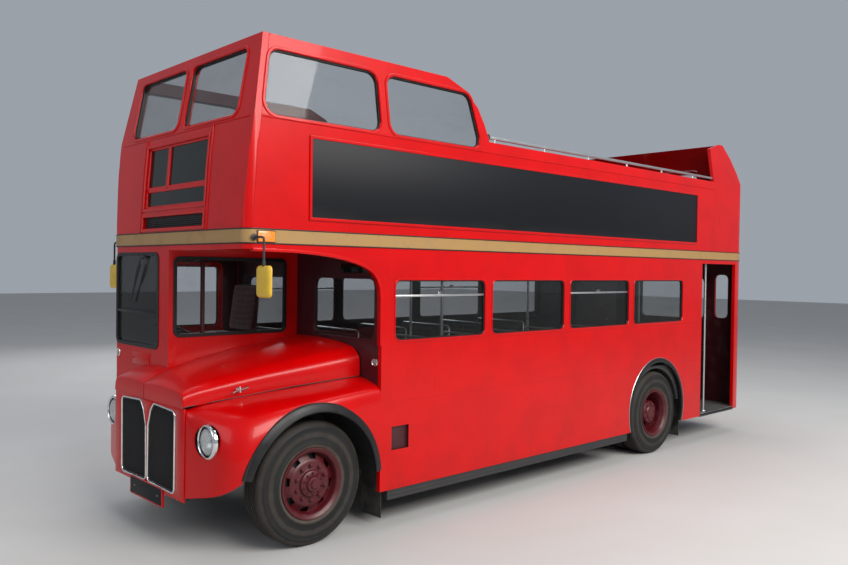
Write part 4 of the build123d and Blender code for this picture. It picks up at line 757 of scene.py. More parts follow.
class Pattern:
    """A Geometry Nodes tree with named inputs, for what repeats on the bus."""

    SOCKETS = {int: "NodeSocketInt", float: "NodeSocketFloat", tuple: "NodeSocketVector"}

    def __init__(self, name, sizes):
        self.tree = bpy.data.node_groups.new(name, "GeometryNodeTree")
        face = self.tree.interface
        face.new_socket("Geometry", in_out="INPUT", socket_type="NodeSocketGeometry")
        self.keys = {}
        for label, value in sizes.items():
            socket = face.new_socket(label, in_out="INPUT", socket_type=self.SOCKETS[type(value)])
            socket.default_value = value
            self.keys[label] = socket.identifier
        face.new_socket("Finish", in_out="INPUT", socket_type="NodeSocketMaterial")
        self.keys["Finish"] = [item for item in face.items_tree if item.name == "Finish"][0].identifier
        face.new_socket("Geometry", in_out="OUTPUT", socket_type="NodeSocketGeometry")
        self.inputs = self.add("NodeGroupInput")
        self.outputs = self.add("NodeGroupOutput")

    def add(self, kind, settings=None, **sockets):
        """Adds a node, sets it and links its sockets."""
        made = self.tree.nodes.new(kind)
        for label, value in (settings or {}).items():
            setattr(made, label, value)
        for label, value in sockets.items():
            label = label.replace("_", " ")
            target = made.inputs[int(label[1:])] if label[0] == "s" and label[1:].isdigit() else made.inputs[label]
            if isinstance(value, bpy.types.NodeSocket):
                self.tree.links.new(value, target)
            else:
                target.default_value = value
        return made

    def finish(self, geometry):
        """Ends the tree: instances made real and painted."""
        real = self.add("GeometryNodeRealizeInstances", Geometry=geometry)
        painted = self.add(
            "GeometryNodeSetMaterial",
            Geometry=real.outputs[0],
            Material=self.inputs.outputs["Finish"],
        )
        self.tree.links.new(painted.outputs[0], self.outputs.inputs[0])
        return self

    def grow(self, seed, finish, **values):
        """The plain mesh that the tree grows from a seed mesh."""
        holder = linked("seed", seed)
        modifier = holder.modifiers.new("pattern", "NODES")
        modifier.node_group = self.tree
        modifier[self.keys["Finish"]] = finish
        for label, value in values.items():
            modifier[self.keys[label]] = value
        result = applied(holder)
        bpy.data.objects.remove(holder)
        return result


def line_pattern():
    """Copies of the seed in a straight line."""
    pattern = Pattern("line of parts", {"Count": 10, "Start": (0.0, 0.0, 0.0), "Step": (0.1, 0.0, 0.0)})
    line = pattern.add(
        "GeometryNodeMeshLine",
        Count=pattern.inputs.outputs["Count"],
        Start_Location=pattern.inputs.outputs["Start"],
        Offset=pattern.inputs.outputs["Step"],
    )
    copies = pattern.add(
        "GeometryNodeInstanceOnPoints",
        Points=line.outputs[0],
        Instance=pattern.inputs.outputs["Geometry"],
    )
    return pattern.finish(copies.outputs[0])


def ring_pattern():
    """Copies of the seed round the Y axis through a centre, each turned to face out."""
    pattern = Pattern("ring of parts", {"Count": 10, "Radius": 0.1, "Phase": 0.0, "Centre": (0.0, 0.0, 0.0)})
    given = pattern.inputs.outputs
    points = pattern.add("GeometryNodePoints", Count=given["Count"])
    index = pattern.add("GeometryNodeInputIndex")
    share = pattern.add("ShaderNodeMath", {"operation": "DIVIDE"}, s0=index.outputs[0], s1=given["Count"])
    angle = pattern.add(
        "ShaderNodeMath", {"operation": "MULTIPLY_ADD"}, s0=share.outputs[0], s1=2 * pi, s2=given["Phase"],
    )
    turned = pattern.add("ShaderNodeMath", {"operation": "MULTIPLY"}, s0=angle.outputs[0], s1=-1.0)
    copies = pattern.add("GeometryNodeInstanceOnPoints", Points=points.outputs[0], Instance=given["Geometry"])
    outward = pattern.add("ShaderNodeCombineXYZ", X=given["Radius"])
    moved = pattern.add("GeometryNodeTranslateInstances", Instances=copies.outputs[0], Translation=outward.outputs[0])
    rotation = pattern.add("ShaderNodeCombineXYZ", Y=turned.outputs[0])
    spun = pattern.add(
        "GeometryNodeRotateInstances",
        Instances=moved.outputs[0],
        Rotation=rotation.outputs[0],
        Pivot_Point=(0.0, 0.0, 0.0),
    )
    spun.inputs["Local Space"].default_value = False
    placed = pattern.add("GeometryNodeTranslateInstances", Instances=spun.outputs[0], Translation=given["Centre"])
    for node in (moved, placed):
        node.inputs["Local Space"].default_value = False
    return pattern.finish(placed.outputs[0])


def coil_pattern():
    """An upright coil spring."""
    sizes = {"Radius": 0.05, "Height": 0.4, "Turns": 6.0, "Wire": 0.008, "Foot": (0.0, 0.0, 0.0)}
    pattern = Pattern("coil spring", sizes)
    given = pattern.inputs.outputs
    spiral = pattern.add(
        "GeometryNodeCurveSpiral",
        Resolution=16,
        Rotations=given["Turns"],
        Start_Radius=given["Radius"],
        End_Radius=given["Radius"],
        Height=given["Height"],
    )
    wire = pattern.add("GeometryNodeCurvePrimitiveCircle", Resolution=8, Radius=given["Wire"])
    coil = pattern.add("GeometryNodeCurveToMesh", Curve=spiral.outputs[0], Profile_Curve=wire.outputs[0])
    coil.inputs["Fill Caps"].default_value = True
    placed = pattern.add("GeometryNodeTransform", Geometry=coil.outputs[0], Translation=given["Foot"])
    return pattern.finish(placed.outputs[0])


LINE = line_pattern()
RING = ring_pattern()
COIL = coil_pattern()


def in_line(seed, finish, count, start, step):
    """Copies of a seed mesh in a straight line, in one finish."""
    return LINE.grow(seed, finish, Count=count, Start=start, Step=step)


def several(meshes, name):
    """Meshes joined into one, their finishes kept in one order."""
    work = bmesh.new()
    finishes = []
    for mesh in meshes:
        start = len(work.faces)
        work.from_mesh(mesh)
        work.faces.ensure_lookup_table()
        finish = [material for material in mesh.materials if material][-1]
        if finish not in finishes:
            finishes.append(finish)
        for face in work.faces[start:]:
            face.material_index = finishes.index(finish)
    made = bpy.data.meshes.new(name)
    work.to_mesh(made)
    work.free()
    return made, finishes


def smooth_skin(rows, creases, thickness, levels=3, edges=1.0, inward=-1.0):
    """A subdivided panel from a cage of rows. creases gives (kind, index, amount) for its rows or columns."""
    shape = Shape()
    layers = shape.skin(rows)
    work = shape.work
    layer = work.edges.layers.float.new("crease_edge")
    marks = {}
    for kind, place, amount in creases:
        if kind == "row":
            runs = zip(layers[place], layers[place][1:])
        else:
            line = [row[place] for row in layers]
            runs = zip(line, line[1:])
        for first, second in runs:
            marks[frozenset((first, second))] = amount
    for edge in work.edges:
        amount = marks.get(frozenset(edge.verts), 0.0)
        edge[layer] = edges if edge.is_boundary else amount
    mesh = shape.mesh(outward=False)
    modifiers = [("SUBSURF", {"levels": levels, "render_levels": levels})]
    if thickness:
        modifiers.append(("SOLIDIFY", {"thickness": thickness, "offset": inward}))
    panel = baked(mesh, modifiers)
    with editing(panel) as work:
        bmesh.ops.recalc_face_normals(work, faces=work.faces)
        if work.calc_volume(signed=True) < 0:
            bmesh.ops.reverse_faces(work, faces=work.faces)
    return panel


def cut(mesh, cutters):
    """A closed mesh with other closed meshes cut away."""
    holders = [linked("cutter", cutter) for cutter in cutters]
    modifiers = [("BOOLEAN", {"object": holder, "operation": "DIFFERENCE", "solver": "EXACT"}) for holder in holders]
    result = baked(mesh, modifiers)
    for holder in holders:
        bpy.data.objects.remove(holder)
    return result


def prism(outline, y):
    """Closed solid of a side view outline between two y limits."""
    shape = Shape()
    shape.skin([side_view(outline, level) for level in y], closed=True, ends=True)
    return shape.mesh()


def circle(centre, radius, steps=72, start=0.0, end=360.0):
    """Flat points on a circle or an arc."""
    full = abs(end - start) >= 360
    count = steps if full else steps + 1
    angles = [radians(start + (end - start) * step / steps) for step in range(count)]
    return [(centre[0] + radius * cos(angle), centre[1] + radius * sin(angle)) for angle in angles]


def mirrored(mesh):
    """A copy mirrored to the other side of the bus, its faces still outward."""
    made = mesh.copy()
    made.transform(Matrix.Scale(-1, 4, (0, 1, 0)))
    made.flip_normals()
    return made


# Windows
def window_trims():
    """Lips, gaskets and top light bars of the saloon windows."""
    lips, gaskets, bars = Shape(), Shape(), Shape()
    lip = [(0.013, -0.002), (0.013, 0.003), (0.009, 0.006), (0.002, 0.006), (-0.003, 0.001), (-0.003, -0.004)]
    for side in (1, -1):
        normal = at(0, side, 0)
        for place, middle in enumerate(WINDOW_XS):
            rim = round_corners(corners((middle - 0.575, middle + 0.575), (1.632, 2.16)), 0.06)
            points = side_view(rim[::side], side * HALF_WIDTH)
            lips.sweep(points, normal, lip)
            gaskets.sweep(points, normal, square_lip(-0.013, -0.0005, -0.034, -0.009))
            if place in OPENING_WINDOWS:
                y = sorted((side * 1.178, side * 1.206))
                bars.slab((middle - 0.568, middle + 0.568), y, (2.01, 2.03), 0.005)
                bars.slab((middle - 0.03, middle + 0.03), sorted((side * 1.166, side * 1.182)), (2.03, 2.052), 0.003)
    piece("saloon_window.lips", lips, RED)
    piece("saloon_window.gaskets", gaskets, RUBBER)
    piece("saloon_window.bars", bars, ALLOY)


SCREENS = [
    [(-0.615, 3.412), (0.548, 3.412), (0.449, 3.935), (-0.615, 3.935)],
    [(-1.87, 3.412), (-0.715, 3.412), (-0.715, 3.935), (-1.76, 3.935)],
]


def screen_trims():
    """Lips and gaskets of the upper deck's screens."""
    lips, gaskets = Shape(), Shape()
    lip = [(0.026, -0.002), (0.026, 0.004), (0.02, 0.009), (0.004, 0.009), (-0.003, 0.002), (-0.003, -0.004)]
    line = square_lip(-0.014, -0.0005, -0.036, -0.012)
    for side in (1, -1):
        for outline in SCREENS:
            rim = round_corners([(FA + x, z) for x, z in outline], 0.1)
            lips.sweep(*on_side(rim, side), lip)
            gaskets.sweep(*on_side(rim, side), line)
        y = sorted((side * 0.05, side * 0.95))
        rim = round_corners(corners(y, (3.43, 3.96)), 0.07)
        lips.sweep(*on_front(rim), lip)
        gaskets.sweep(*on_front(rim), line)
    piece("screen.lips", lips, RED)
    piece("screen.gaskets", gaskets, RUBBER)


def body_beads():
    """Beads round the upper deck under the screens and dark edges along the tan band."""
    beads, edges = Shape(), Shape()
    points, normals = round_body(3.392, 0.0, -3.2)
    beads.sweep(points, normals, half_round(0.018, 0.007), closed=False)
    for level in (BAND_TOP_Z, DECK_UNDER_Z + 0.002):
        points, normals = round_body(level, 0.004)
        edges.sweep(points, normals, half_round(0.01, 0.005))
    piece("upper.beads", beads, RED)
    piece("band.edges", edges, RUBBER)
    clip = Shape().turn(
        [(0.0, 0.004), (0.004, 0.0035), (0.007, 0.0), (0.007, -0.003)], (0, 0, 0), (0, 1, 0), 10,
    ).mesh()
    clips = []
    for side in (1, -1):
        step = (0.337, 0.0, 0.0)
        for z in (2.452, 2.528):
            start = (-3.7, side * (HALF_WIDTH + 0.004), z)
            seed = clip if side > 0 else mirrored(clip)
            clips.append(in_line(seed, GOLD, 23, start, step))
    piece("band.screws", clips)


def board_frames():
    """Thin red frames round the blank boards, and the boards' faces."""
    frames, boards = Shape(), Shape()
    for side in (1, -1):
        rim = corners((FA - 6.05, FA + 0.12), (2.637, 3.29))
        points = side_view(rim[::side], side * (HALF_WIDTH + 0.004))
        frames.sweep(
            points, at(0, side, 0),
            [(0.008, -0.005), (0.008, 0.006), (0.004, 0.009), (-0.012, 0.009), (-0.016, 0.006), (-0.016, 0.001)],
        )
        boards.slab(
            (FA - 6.048, FA + 0.118), sorted((side * HALF_WIDTH, side * (HALF_WIDTH + 0.007))), (2.639, 3.288), 0.001,
        )
    piece("board.frames", frames, RED)
    piece("board.faces", boards, BOARD, ["advert_boards"])


def blind_box():
    """Frames and dark glass of the blind recess, its vent and side strips, and the box on the bulkhead."""
    frames, panes, vent = Shape(), Shape(), Shape()
    lip = [(0.022, -0.003), (0.022, 0.008), (0.016, 0.013), (0.002, 0.013), (-0.004, 0.008), (-0.004, -0.03)]
    for y, z in (((-0.56, 0.56), (2.76, 3.31)), ((-0.56, 0.56), (2.58, 2.69))):
        frames.sweep(*on_front(corners(y, z)), lip)
    for y, z in (((-0.56, -0.16), (2.93, 3.31)), ((-0.16, 0.56), (2.93, 3.31)), ((-0.56, 0.56), (2.76, 2.93))):
        inner = corners((y[0] + 0.006, y[1] - 0.006), (z[0] + 0.006, z[1] - 0.006))
        frames.sweep(
            *on_front(round_corners(inner, 0.018), -0.012),
            [(0.006, -0.02), (0.006, 0.004), (-0.012, 0.004), (-0.018, -0.002), (-0.018, -0.012)],
        )
        pane = [at(lean_x(level) - 0.022, across, level) for across, level in inner]
        panes.skin([[pane[0], pane[1]], [pane[3], pane[2]]])
        back = [point - at(0.004, 0, 0) for point in pane]
        panes.skin([[back[1], back[0]], [back[2], back[3]]])
    for side in (1, -1):
        run = [at(lean_x(z), side * 0.605, z) for z in (2.548, 2.8, 3.12, 3.386)]
        frames.sweep(run, at(1, 0, 0.06), half_round(0.026, 0.012), closed=False)
    frames.sweep(
        [at(lean_x(2.715), y, 2.715) for y in (-0.595, 0.0, 0.595)],
        at(1, 0, 0.06),
        half_round(0.018, 0.009),
        closed=False,
    )
    slat = Shape().slab((-0.01, 0.004), (-0.55, 0.55), (-0.003, 0.003), 0.0015).mesh()
    slats = in_line(slat, DARK, 6, (lean_x(2.6) - 0.02, 0.0, 2.595), (-0.001, 0.0, 0.016))
    # The dark sheet behind the slats is painted shade in the vent slot.
    vent.slab((lean_x(2.6) - 0.04, lean_x(2.6) - 0.034), (-0.56, 0.56), (2.582, 2.688), 0.0)
    piece("blind.frames", frames, RED)
    piece("blind.panes", panes, BLIND, ["blind_boxes"])
    back = vent.mesh(DARK)
    piece("blind.vent", [slats, back])
    route = Shape()
    route.slab((BULKHEAD_X + 0.001, BULKHEAD_X + 0.022), (0.655, 1.055), (2.21, 2.31), 0.004)
    piece("route_box.face", route, BLIND)
    # Its frame in dark maroon, painted shade under the canopy.
    rim = Shape()
    rim.sweep(
        *on_wall(corners((0.65, 1.06), (2.205, 2.315)), BULKHEAD_X + 0.022), square_lip(-0.014, 0.004, -0.02, 0.006),
    )
    piece("route_box.frame", rim, INNER_RED_AND_SHADE)


# Bonnet and nose
# Ahead of the axle, then y and z from the hinge edge over the crown and shoulder to the foot
BONNET_CAGE = [(x, list(zip(across, heights))) for x, across, heights in (
    (-0.625, (-0.05, 0.12, 0.4, 0.66, 0.835, 0.925, 0.931, 0.928),
     (1.61, 1.615, 1.61, 1.59, 1.56, 1.49, 1.4, 1.308)),
    (-0.36, (-0.05, 0.11, 0.38, 0.64, 0.805, 0.893, 0.899, 0.895),
     (1.572, 1.578, 1.574, 1.552, 1.52, 1.453, 1.372, 1.29)),
    (0.0, (-0.05, 0.1, 0.35, 0.6, 0.755, 0.838, 0.846, 0.84),
     (1.52, 1.528, 1.524, 1.5, 1.468, 1.408, 1.335, 1.262)),
    (0.3, (-0.05, 0.09, 0.32, 0.56, 0.7, 0.776, 0.782, 0.776),
     (1.47, 1.478, 1.474, 1.45, 1.418, 1.365, 1.3, 1.228)),
    (0.58, (-0.05, 0.08, 0.29, 0.52, 0.65, 0.715, 0.722, 0.716),
     (1.4, 1.416, 1.414, 1.391, 1.36, 1.312, 1.258, 1.192)),
    (0.76, (-0.05, 0.07, 0.27, 0.49, 0.615, 0.668, 0.674, 0.668),
     (1.338, 1.362, 1.364, 1.344, 1.315, 1.275, 1.228, 1.17)),
    (0.868, (-0.05, 0.06, 0.25, 0.46, 0.59, 0.64, 0.65, 0.652),
     (1.282, 1.3, 1.304, 1.294, 1.28, 1.252, 1.208, 1.156)),
    (0.89, (-0.05, 0.06, 0.25, 0.46, 0.59, 0.638, 0.648, 0.65),
     (1.266, 1.28, 1.283, 1.276, 1.263, 1.238, 1.2, 1.153)),
    (0.893, (-0.05, 0.06, 0.25, 0.46, 0.59, 0.636, 0.647, 0.649),
     (1.205, 1.21, 1.21, 1.208, 1.202, 1.194, 1.178, 1.15)),
    (0.89, (-0.05, 0.06, 0.25, 0.46, 0.585, 0.632, 0.64, 0.644),
     (1.146, 1.146, 1.146, 1.146, 1.146, 1.146, 1.146, 1.146)),
)]


def bonnet_rows():
    """The bonnet's cage as rows of points."""
    return [front_view(section, FA + x) for x, section in BONNET_CAGE]


def bonnet_and_nose():
    """Bonnet with its seam, ribs and hinge, and the fixed half of the nose beside it; its seam bead and a strip
    between bonnet and nose are dark, as painted shade in those gaps.
    """
    creases = [("row", 7, 0.82), ("column", 5, 0.25), ("column", 4, 0.32), ("row", 8, 0.2)]
    skin = smooth_skin(bonnet_rows(), creases, 0.004, 3)
    # The seam bead is black rubber, dark also as the painted shadow in the gap between bonnet and wing.
    seam = Shape()
    foot = [at(FA + x, section[-1][0] + 0.001, section[-1][1] + 0.004) for x, section in BONNET_CAGE[:8]]
    seam.sweep(foot, at(0, 1, 0.1), half_round(0.012, 0.005), closed=False)
    seam_and_shadow_mesh = seam.mesh(RUBBER)
    skin.materials.append(RED)
    ribs = Shape()
    for x, section in (BONNET_CAGE[1], BONNET_CAGE[3], BONNET_CAGE[4]):
        under = [at(FA + x, y - 0.012 * (y > 0.6), z - 0.014) for y, z in section]
        ribs.sweep(under, at(1, 0, 0), oblong(-0.008, 0.008, -0.015, 0.015), closed=False)
    ribs_mesh = ribs.mesh(INNER_RED_AND_SHADE)
    piece("bonnet.skin", [skin, seam_and_shadow_mesh, ribs_mesh], replaces=["bonnet"], body="bonnet", angle=50.0)
    pin, way = at(FA - 0.625, -0.05, 1.616), at(0.825, 0.0, -0.124).normalized()
    barrels = Shape()
    for distance in (0.06, 0.35, 0.64):
        start = pin + way * distance
        barrels.tube([start, start + way * 0.11], 0.008, 14)
        for share in (0.02, 0.055, 0.09):
            place = start + way * share
            barrels.slab(
                (place.x - 0.008, place.x + 0.008), (-0.05, -0.028), (place.z - 0.012, place.z - 0.004), 0.001,
            )
    piece("bonnet.hinge", barrels, RED, body="bonnet")
    nose = smooth_skin(bonnet_rows(), creases, 0.004, 3)
    nose = mirrored(nose)
    with editing(nose) as work:
        every = list(work.verts) + list(work.edges) + list(work.faces)
        plane = at(CAB_FRONT_X + 0.001, 0, 0)
        bmesh.ops.bisect_plane(work, geom=every, plane_co=plane, plane_no=(1, 0, 0), clear_inner=True)
        for vert in work.verts:
            vert.co.y = -0.06 - (0.05 - vert.co.y) * 0.842
    piece("cowl.nose", nose, RED, angle=50.0)
    # A dark maroon strip between bonnet and nose: painted shade in the gap.
    middle = Shape()
    run = [at(FA + x, -0.056, section[0][1] - 0.012) for x, section in BONNET_CAGE[5:8]]
    middle.sweep(run, at(0, 0, 1), oblong(-0.006, 0.006, -0.02, 0.008), closed=False)
    piece("cowl.gap_shade", middle, INNER_RED_AND_SHADE)


def bonnet_fittings():
    """Bright turning handle and its boss, on the bonnet's side near the front."""
    fittings = Shape()
    place = at(FA + 0.47, 0.752, 1.272)
    out = at(0.05, 1, 0.06).normalized()
    fittings.turn([(0.0, 0.012), (0.014, 0.011), (0.022, 0.004), (0.024, -0.004)], place, out, 20)
    fittings.tube([place, place + out * 0.026], 0.007, 10)
    grip = place + out * 0.028
    fittings.tube(
        [
            grip + at(-0.072, 0.004, 0.016), grip + at(-0.03, 0.0, 0.004), grip, grip + at(0.03, -0.002, -0.006),
            grip + at(0.06, -0.006, -0.02),
        ],
        0.0085, 10,
    )
    fittings.tube([grip + at(-0.005, 0, -0.02), grip + at(0.0, 0, 0.026)], 0.007, 10)
    piece("bonnet.handle", fittings, CHROME, body="bonnet")


# Wings
# Ahead of the axle, then y and z from the bonnet's foot over the wing to the hem
WING_CAGE = [(x, list(zip(across, heights))) for x, across, heights in (
    (-0.634, (0.72, 0.88, 1.01, 1.125, 1.2, 1.213, 1.213, 1.213, 1.213),
     (1.304, 1.302, 1.284, 1.256, 1.222, 1.14, 0.95, 0.7, 0.36)),
    (-0.45, (0.69, 0.86, 0.995, 1.115, 1.195, 1.213, 1.213, 1.213, 1.213),
     (1.298, 1.295, 1.276, 1.25, 1.216, 1.135, 0.95, 0.7, 0.36)),
    (-0.1, (0.64, 0.82, 0.965, 1.095, 1.188, 1.213, 1.213, 1.213, 1.213),
     (1.268, 1.262, 1.246, 1.222, 1.188, 1.105, 0.93, 0.7, 0.36)),
    (0.2, (0.6, 0.775, 0.925, 1.065, 1.172, 1.211, 1.213, 1.213, 1.213),
     (1.238, 1.232, 1.218, 1.194, 1.155, 1.065, 0.9, 0.69, 0.36)),
    (0.42, (0.58, 0.735, 0.88, 1.02, 1.138, 1.2, 1.21, 1.211, 1.211),
     (1.212, 1.206, 1.192, 1.166, 1.122, 1.02, 0.87, 0.68, 0.36)),
    (0.58, (0.57, 0.705, 0.835, 0.965, 1.085, 1.172, 1.195, 1.197, 1.197),
     (1.19, 1.184, 1.17, 1.143, 1.095, 0.985, 0.85, 0.68, 0.36)),
    (0.69, (0.566, 0.68, 0.79, 0.9, 1.01, 1.105, 1.145, 1.15, 1.15),
     (1.172, 1.166, 1.152, 1.124, 1.072, 0.96, 0.83, 0.67, 0.36)),
    (0.762, (0.562, 0.664, 0.752, 0.842, 0.932, 1.01, 1.05, 1.056, 1.056),
     (1.158, 1.152, 1.138, 1.108, 1.052, 0.945, 0.82, 0.67, 0.36)),
    (0.8, (0.56, 0.66, 0.726, 0.796, 0.864, 0.92, 0.945, 0.95, 0.95),
     (1.146, 1.14, 1.124, 1.094, 1.04, 0.94, 0.82, 0.66, 0.36)),
    (0.828, (0.558, 0.657, 0.7, 0.742, 0.78, 0.812, 0.826, 0.83, 0.83),
     (1.136, 1.128, 1.11, 1.08, 1.028, 0.935, 0.82, 0.64, 0.36)),
    (0.866, (0.556, 0.655, 0.657, 0.659, 0.66, 0.66, 0.66, 0.66, 0.66),
     (1.128, 1.118, 1.094, 1.062, 1.012, 0.925, 0.81, 0.62, 0.36)),
)]
WING_LOWER = [(0.4, 0.2), (0.4, 0.655), (0.56, 0.65), (0.68, 0.622), (0.88, 0.446), (0.92, 0.2)]


def wings():
    """Front wings with their arches cut and dark liners under them."""
    rows = [front_view(section, FA + x) for x, section in WING_CAGE]
    creases = [("column", 1, 0.35), ("column", 4, 0.22), ("row", 9, 0.1)]
    skin = smooth_skin(rows, creases, 0.01, 3)
    arch = prism(circle((ARCH_X, ARCH_Z), 0.662, 96), (0.3, 1.4))
    lower = prism([(FA + x, z) for x, z in WING_LOWER], (0.3, 1.4))
    foot = prism(corners((FA - 0.66, FA), (0.2, 0.5)), (0.3, 1.4))
    lamp = Shape().turn(
        [(0.0, -0.12), (0.128, -0.12), (0.128, 0.1), (0.0, 0.1)], (LAMP_X, LAMP_Y, LAMP_Z), (1, 0, 0), 48,
    ).mesh()
    near = cut(skin, [arch, lower, foot, lamp])
    off = mirrored(near)
    hull = prism([(FA - 0.64, 1.187), (FA - 0.64, 1.6), (FA + 0.59, 1.6), (FA + 0.59, 1.187)], (-1.4, -0.3))
    off = cut(off, [hull])
    for name, mesh, side in (("near_wing", near, 1), ("off_wing", off, -1)):
        mesh.materials.append(RED)
        liner = Shape()
        outer, inner = side * 1.2, side * 0.575
        arc = circle((ARCH_X, ARCH_Z), 0.668, 40, 13, 182)
        liner.skin([side_view(arc, inner), side_view(arc, outer)])
        liner.skin(
            [side_view(arc, inner), [at(x * 0.25 + ARCH_X * 0.75, inner, max(z * 0.5 + 0.5, 0.9)) for x, z in arc]]
        )
        liner_mesh = baked(liner.mesh(), [("SOLIDIFY", {"thickness": 0.004, "offset": 0.0})])
        liner_mesh.materials.append(DARK)
        piece(f"{name}.skin", [mesh, liner_mesh], replaces=[name], angle=50.0)


def flank_y(x):
    """Side face of the wing, which draws in towards the front."""
    ahead = x - FA
    places = [(-0.7, 1.213), (0.42, 1.21), (0.5, 1.206), (0.58, 1.193), (0.64, 1.17), (0.7, 1.14)]
    for (low, first), (high, last) in zip(places, places[1:]):
        if ahead <= high:
            return first + (last - first) * max(ahead - low, 0.0) / (high - low)
    return 1.14


def arch_trims():
    """Dark flares round the wheel arches, with a silver edge on the rear ones."""
    flare = [
        (0.037, -0.006), (0.037, 0.003), (0.028, 0.01), (0.0, 0.022), (-0.026, 0.029), (-0.036, 0.024),
        (-0.038, -0.022), (0.0, -0.012),
    ]
    strip = [(0.027, -0.004), (0.027, 0.004), (0.02, 0.009), (-0.018, 0.014), (-0.026, 0.01), (-0.027, -0.02)]
    silver = [(0.031, -0.002), (0.031, 0.003), (0.028, 0.006), (0.025, 0.003), (0.025, -0.002)]
    dark, bright = Shape(), Shape()
    for side in (1, -1):
        arc = circle((ARCH_X, ARCH_Z), 0.634, 64, 13.0, 177.5)
        points = [at(x, side * flank_y(x), z) for x, z in arc]
        if side < 0:
            points.reverse()
        dark.sweep(points, at(0, side, 0), flare, closed=False)
        arc = circle((REAR_AXLE, 0.56), 0.606, 64, -20.0, 200.0)
        points = side_view(arc[::side], side * HALF_WIDTH)
        dark.sweep(points, at(0, side, 0), strip, closed=False)
        bright.sweep(points, at(0, side, 0), silver, closed=False)
    piece("arch.trims", dark, RUBBER)
    piece("arch.edges", bright, ALLOY)


# Grille
def grille():
    """Two bright loops round the slats and wires, and the red wedge between them."""
    x = FA + 0.868
    plate, chrome = Shape(), Shape()
    tube = [(cos(radians(angle)) * 0.0085, sin(radians(angle)) * 0.0105) for angle in range(0, 360, 30)]
    for side in (1, -1):
        rising = [(0.012, 0.462), (0.503, 0.452), (0.508, 1.108), (0.125, 1.124), (0.07, 1.06), (0.02, 0.925)]
        rounded = round_corners(rising, 0.048, 8)
        points = [at(x + 0.02, side * y, z) for y, z in rounded]
        chrome.sweep(points, at(1, 0, 0), tube)
        inner = [at(x + 0.008, side * (0.26 + (y - 0.26) * 0.965), 0.785 + (z - 0.785) * 0.97) for y, z in rounded]
        plate.sweep(inner, at(1, 0, 0), oblong(-0.008, 0.008, -0.02, 0.008))
    chrome_mesh = chrome.mesh(CHROME)
    wedge = [
        (-0.006, 0.462), (0.006, 0.462), (0.009, 0.915), (0.06, 1.06), (0.112, 1.135), (-0.112, 1.135), (-0.06, 1.06),
        (-0.009, 0.915),
    ]
    shape = Shape()
    shape.skin([front_view(wedge, x + out) for out in (0.0, 0.028)], closed=True, ends=True)
    wedge_mesh = baked(shape.mesh(), [("BEVEL", {"width": 0.004, "segments": 2})])
    wedge_mesh.materials.append(RED)
    plate_mesh = plate.mesh(DARK)
    slat = Shape().slab((x - 0.004, x + 0.01), (-0.0022, 0.0022), (0.462, 1.09), 0.001).mesh()
    wire = Shape().slab((x - 0.001, x + 0.004), (-0.498, 0.498), (-0.0018, 0.0018), 0.0).mesh()
    slats = in_line(slat, DARK, 55, (0.0, -0.486, 0.0), (0.0, 0.018, 0.0))
    wires = in_line(wire, DARK, 36, (0.0, 0.0, 0.47), (0.0, 0.0, 0.0175))
    piece("grille.surround", [chrome_mesh], replaces=["grille"])
    piece("grille.wedge", [wedge_mesh])
    piece("grille.slats", [plate_mesh, slats, wires])
    dress("radiator", CORE, 0.002)


def headlamps():
    """Bright rings and bowls, seals and fluted lenses."""
    chrome, glasses, back = Shape(), Shape(), Shape()
    for side in (1, -1):
        centre = (LAMP_X, side * LAMP_Y, LAMP_Z)
        chrome.turn(
            [
                (0.139, -0.014), (0.139, 0.0), (0.136, 0.01), (0.129, 0.017), (0.12, 0.019), (0.113, 0.014),
                (0.111, 0.006), (0.111, -0.014),
            ],
            centre, (1, 0, 0), 56,
        )
        chrome.turn(
            [
                (0.108, 0.002), (0.096, -0.022), (0.074, -0.048), (0.04, -0.068), (0.0, -0.074), (0.0, -0.08),
                (0.044, -0.074), (0.08, -0.053), (0.104, -0.024), (0.114, 0.0),
            ],
            centre, (1, 0, 0), 48,
        )
        back.turn(oblong(0.1105, 0.104, 0.01, -0.01), centre, (1, 0, 0), 48)
        back.turn([(0.0, -0.03), (0.018, -0.034), (0.02, -0.07), (0.0, -0.07)], centre, (1, 0, 0), 20)
        glasses.turn(
            [
                (0.0, 0.03), (0.04, 0.027), (0.074, 0.019), (0.096, 0.01), (0.105, 0.004), (0.105, -0.001),
                (0.094, 0.004), (0.072, 0.013), (0.04, 0.021), (0.0, 0.024),
            ],
            centre, (1, 0, 0), 48,
        )
    piece("headlamp.rings", chrome, CHROME, ["headlamps"], angle=45.0)
    piece("headlamp.seals", back, RUBBER)
    piece("headlamp.lenses", glasses, LAMP_GLASS, angle=60.0)


# Wheels
FRONT_DISH = [
    (0.268, -0.118), (0.252, -0.106), (0.252, 0.088), (0.262, 0.1), (0.276, 0.108), (0.286, 0.113), (0.292, 0.121),
    (0.289, 0.127), (0.283, 0.128), (0.272, 0.121), (0.256, 0.112), (0.248, 0.1), (0.246, 0.062), (0.238, 0.05),
    (0.214, 0.062), (0.194, 0.08), (0.182, 0.088), (0.168, 0.092), (0.12, 0.094), (0.112, 0.098), (0.108, 0.112),
    (0.1, 0.12), (0.07, 0.124), (0.064, 0.132), (0.058, 0.146), (0.044, 0.15), (0.0, 0.152),
]
REAR_DISH = [
    (0.268, -0.262), (0.25, -0.25), (0.25, 0.232), (0.262, 0.246), (0.276, 0.254), (0.286, 0.258), (0.292, 0.266),
    (0.289, 0.272), (0.282, 0.273), (0.272, 0.266), (0.256, 0.256), (0.247, 0.236), (0.244, 0.15), (0.24, 0.1),
    (0.23, 0.06), (0.212, 0.04), (0.188, 0.036), (0.15, 0.04), (0.146, 0.06), (0.14, 0.185), (0.128, 0.2),
    (0.084, 0.204), (0.078, 0.214), (0.06, 0.222), (0.0, 0.224),
]


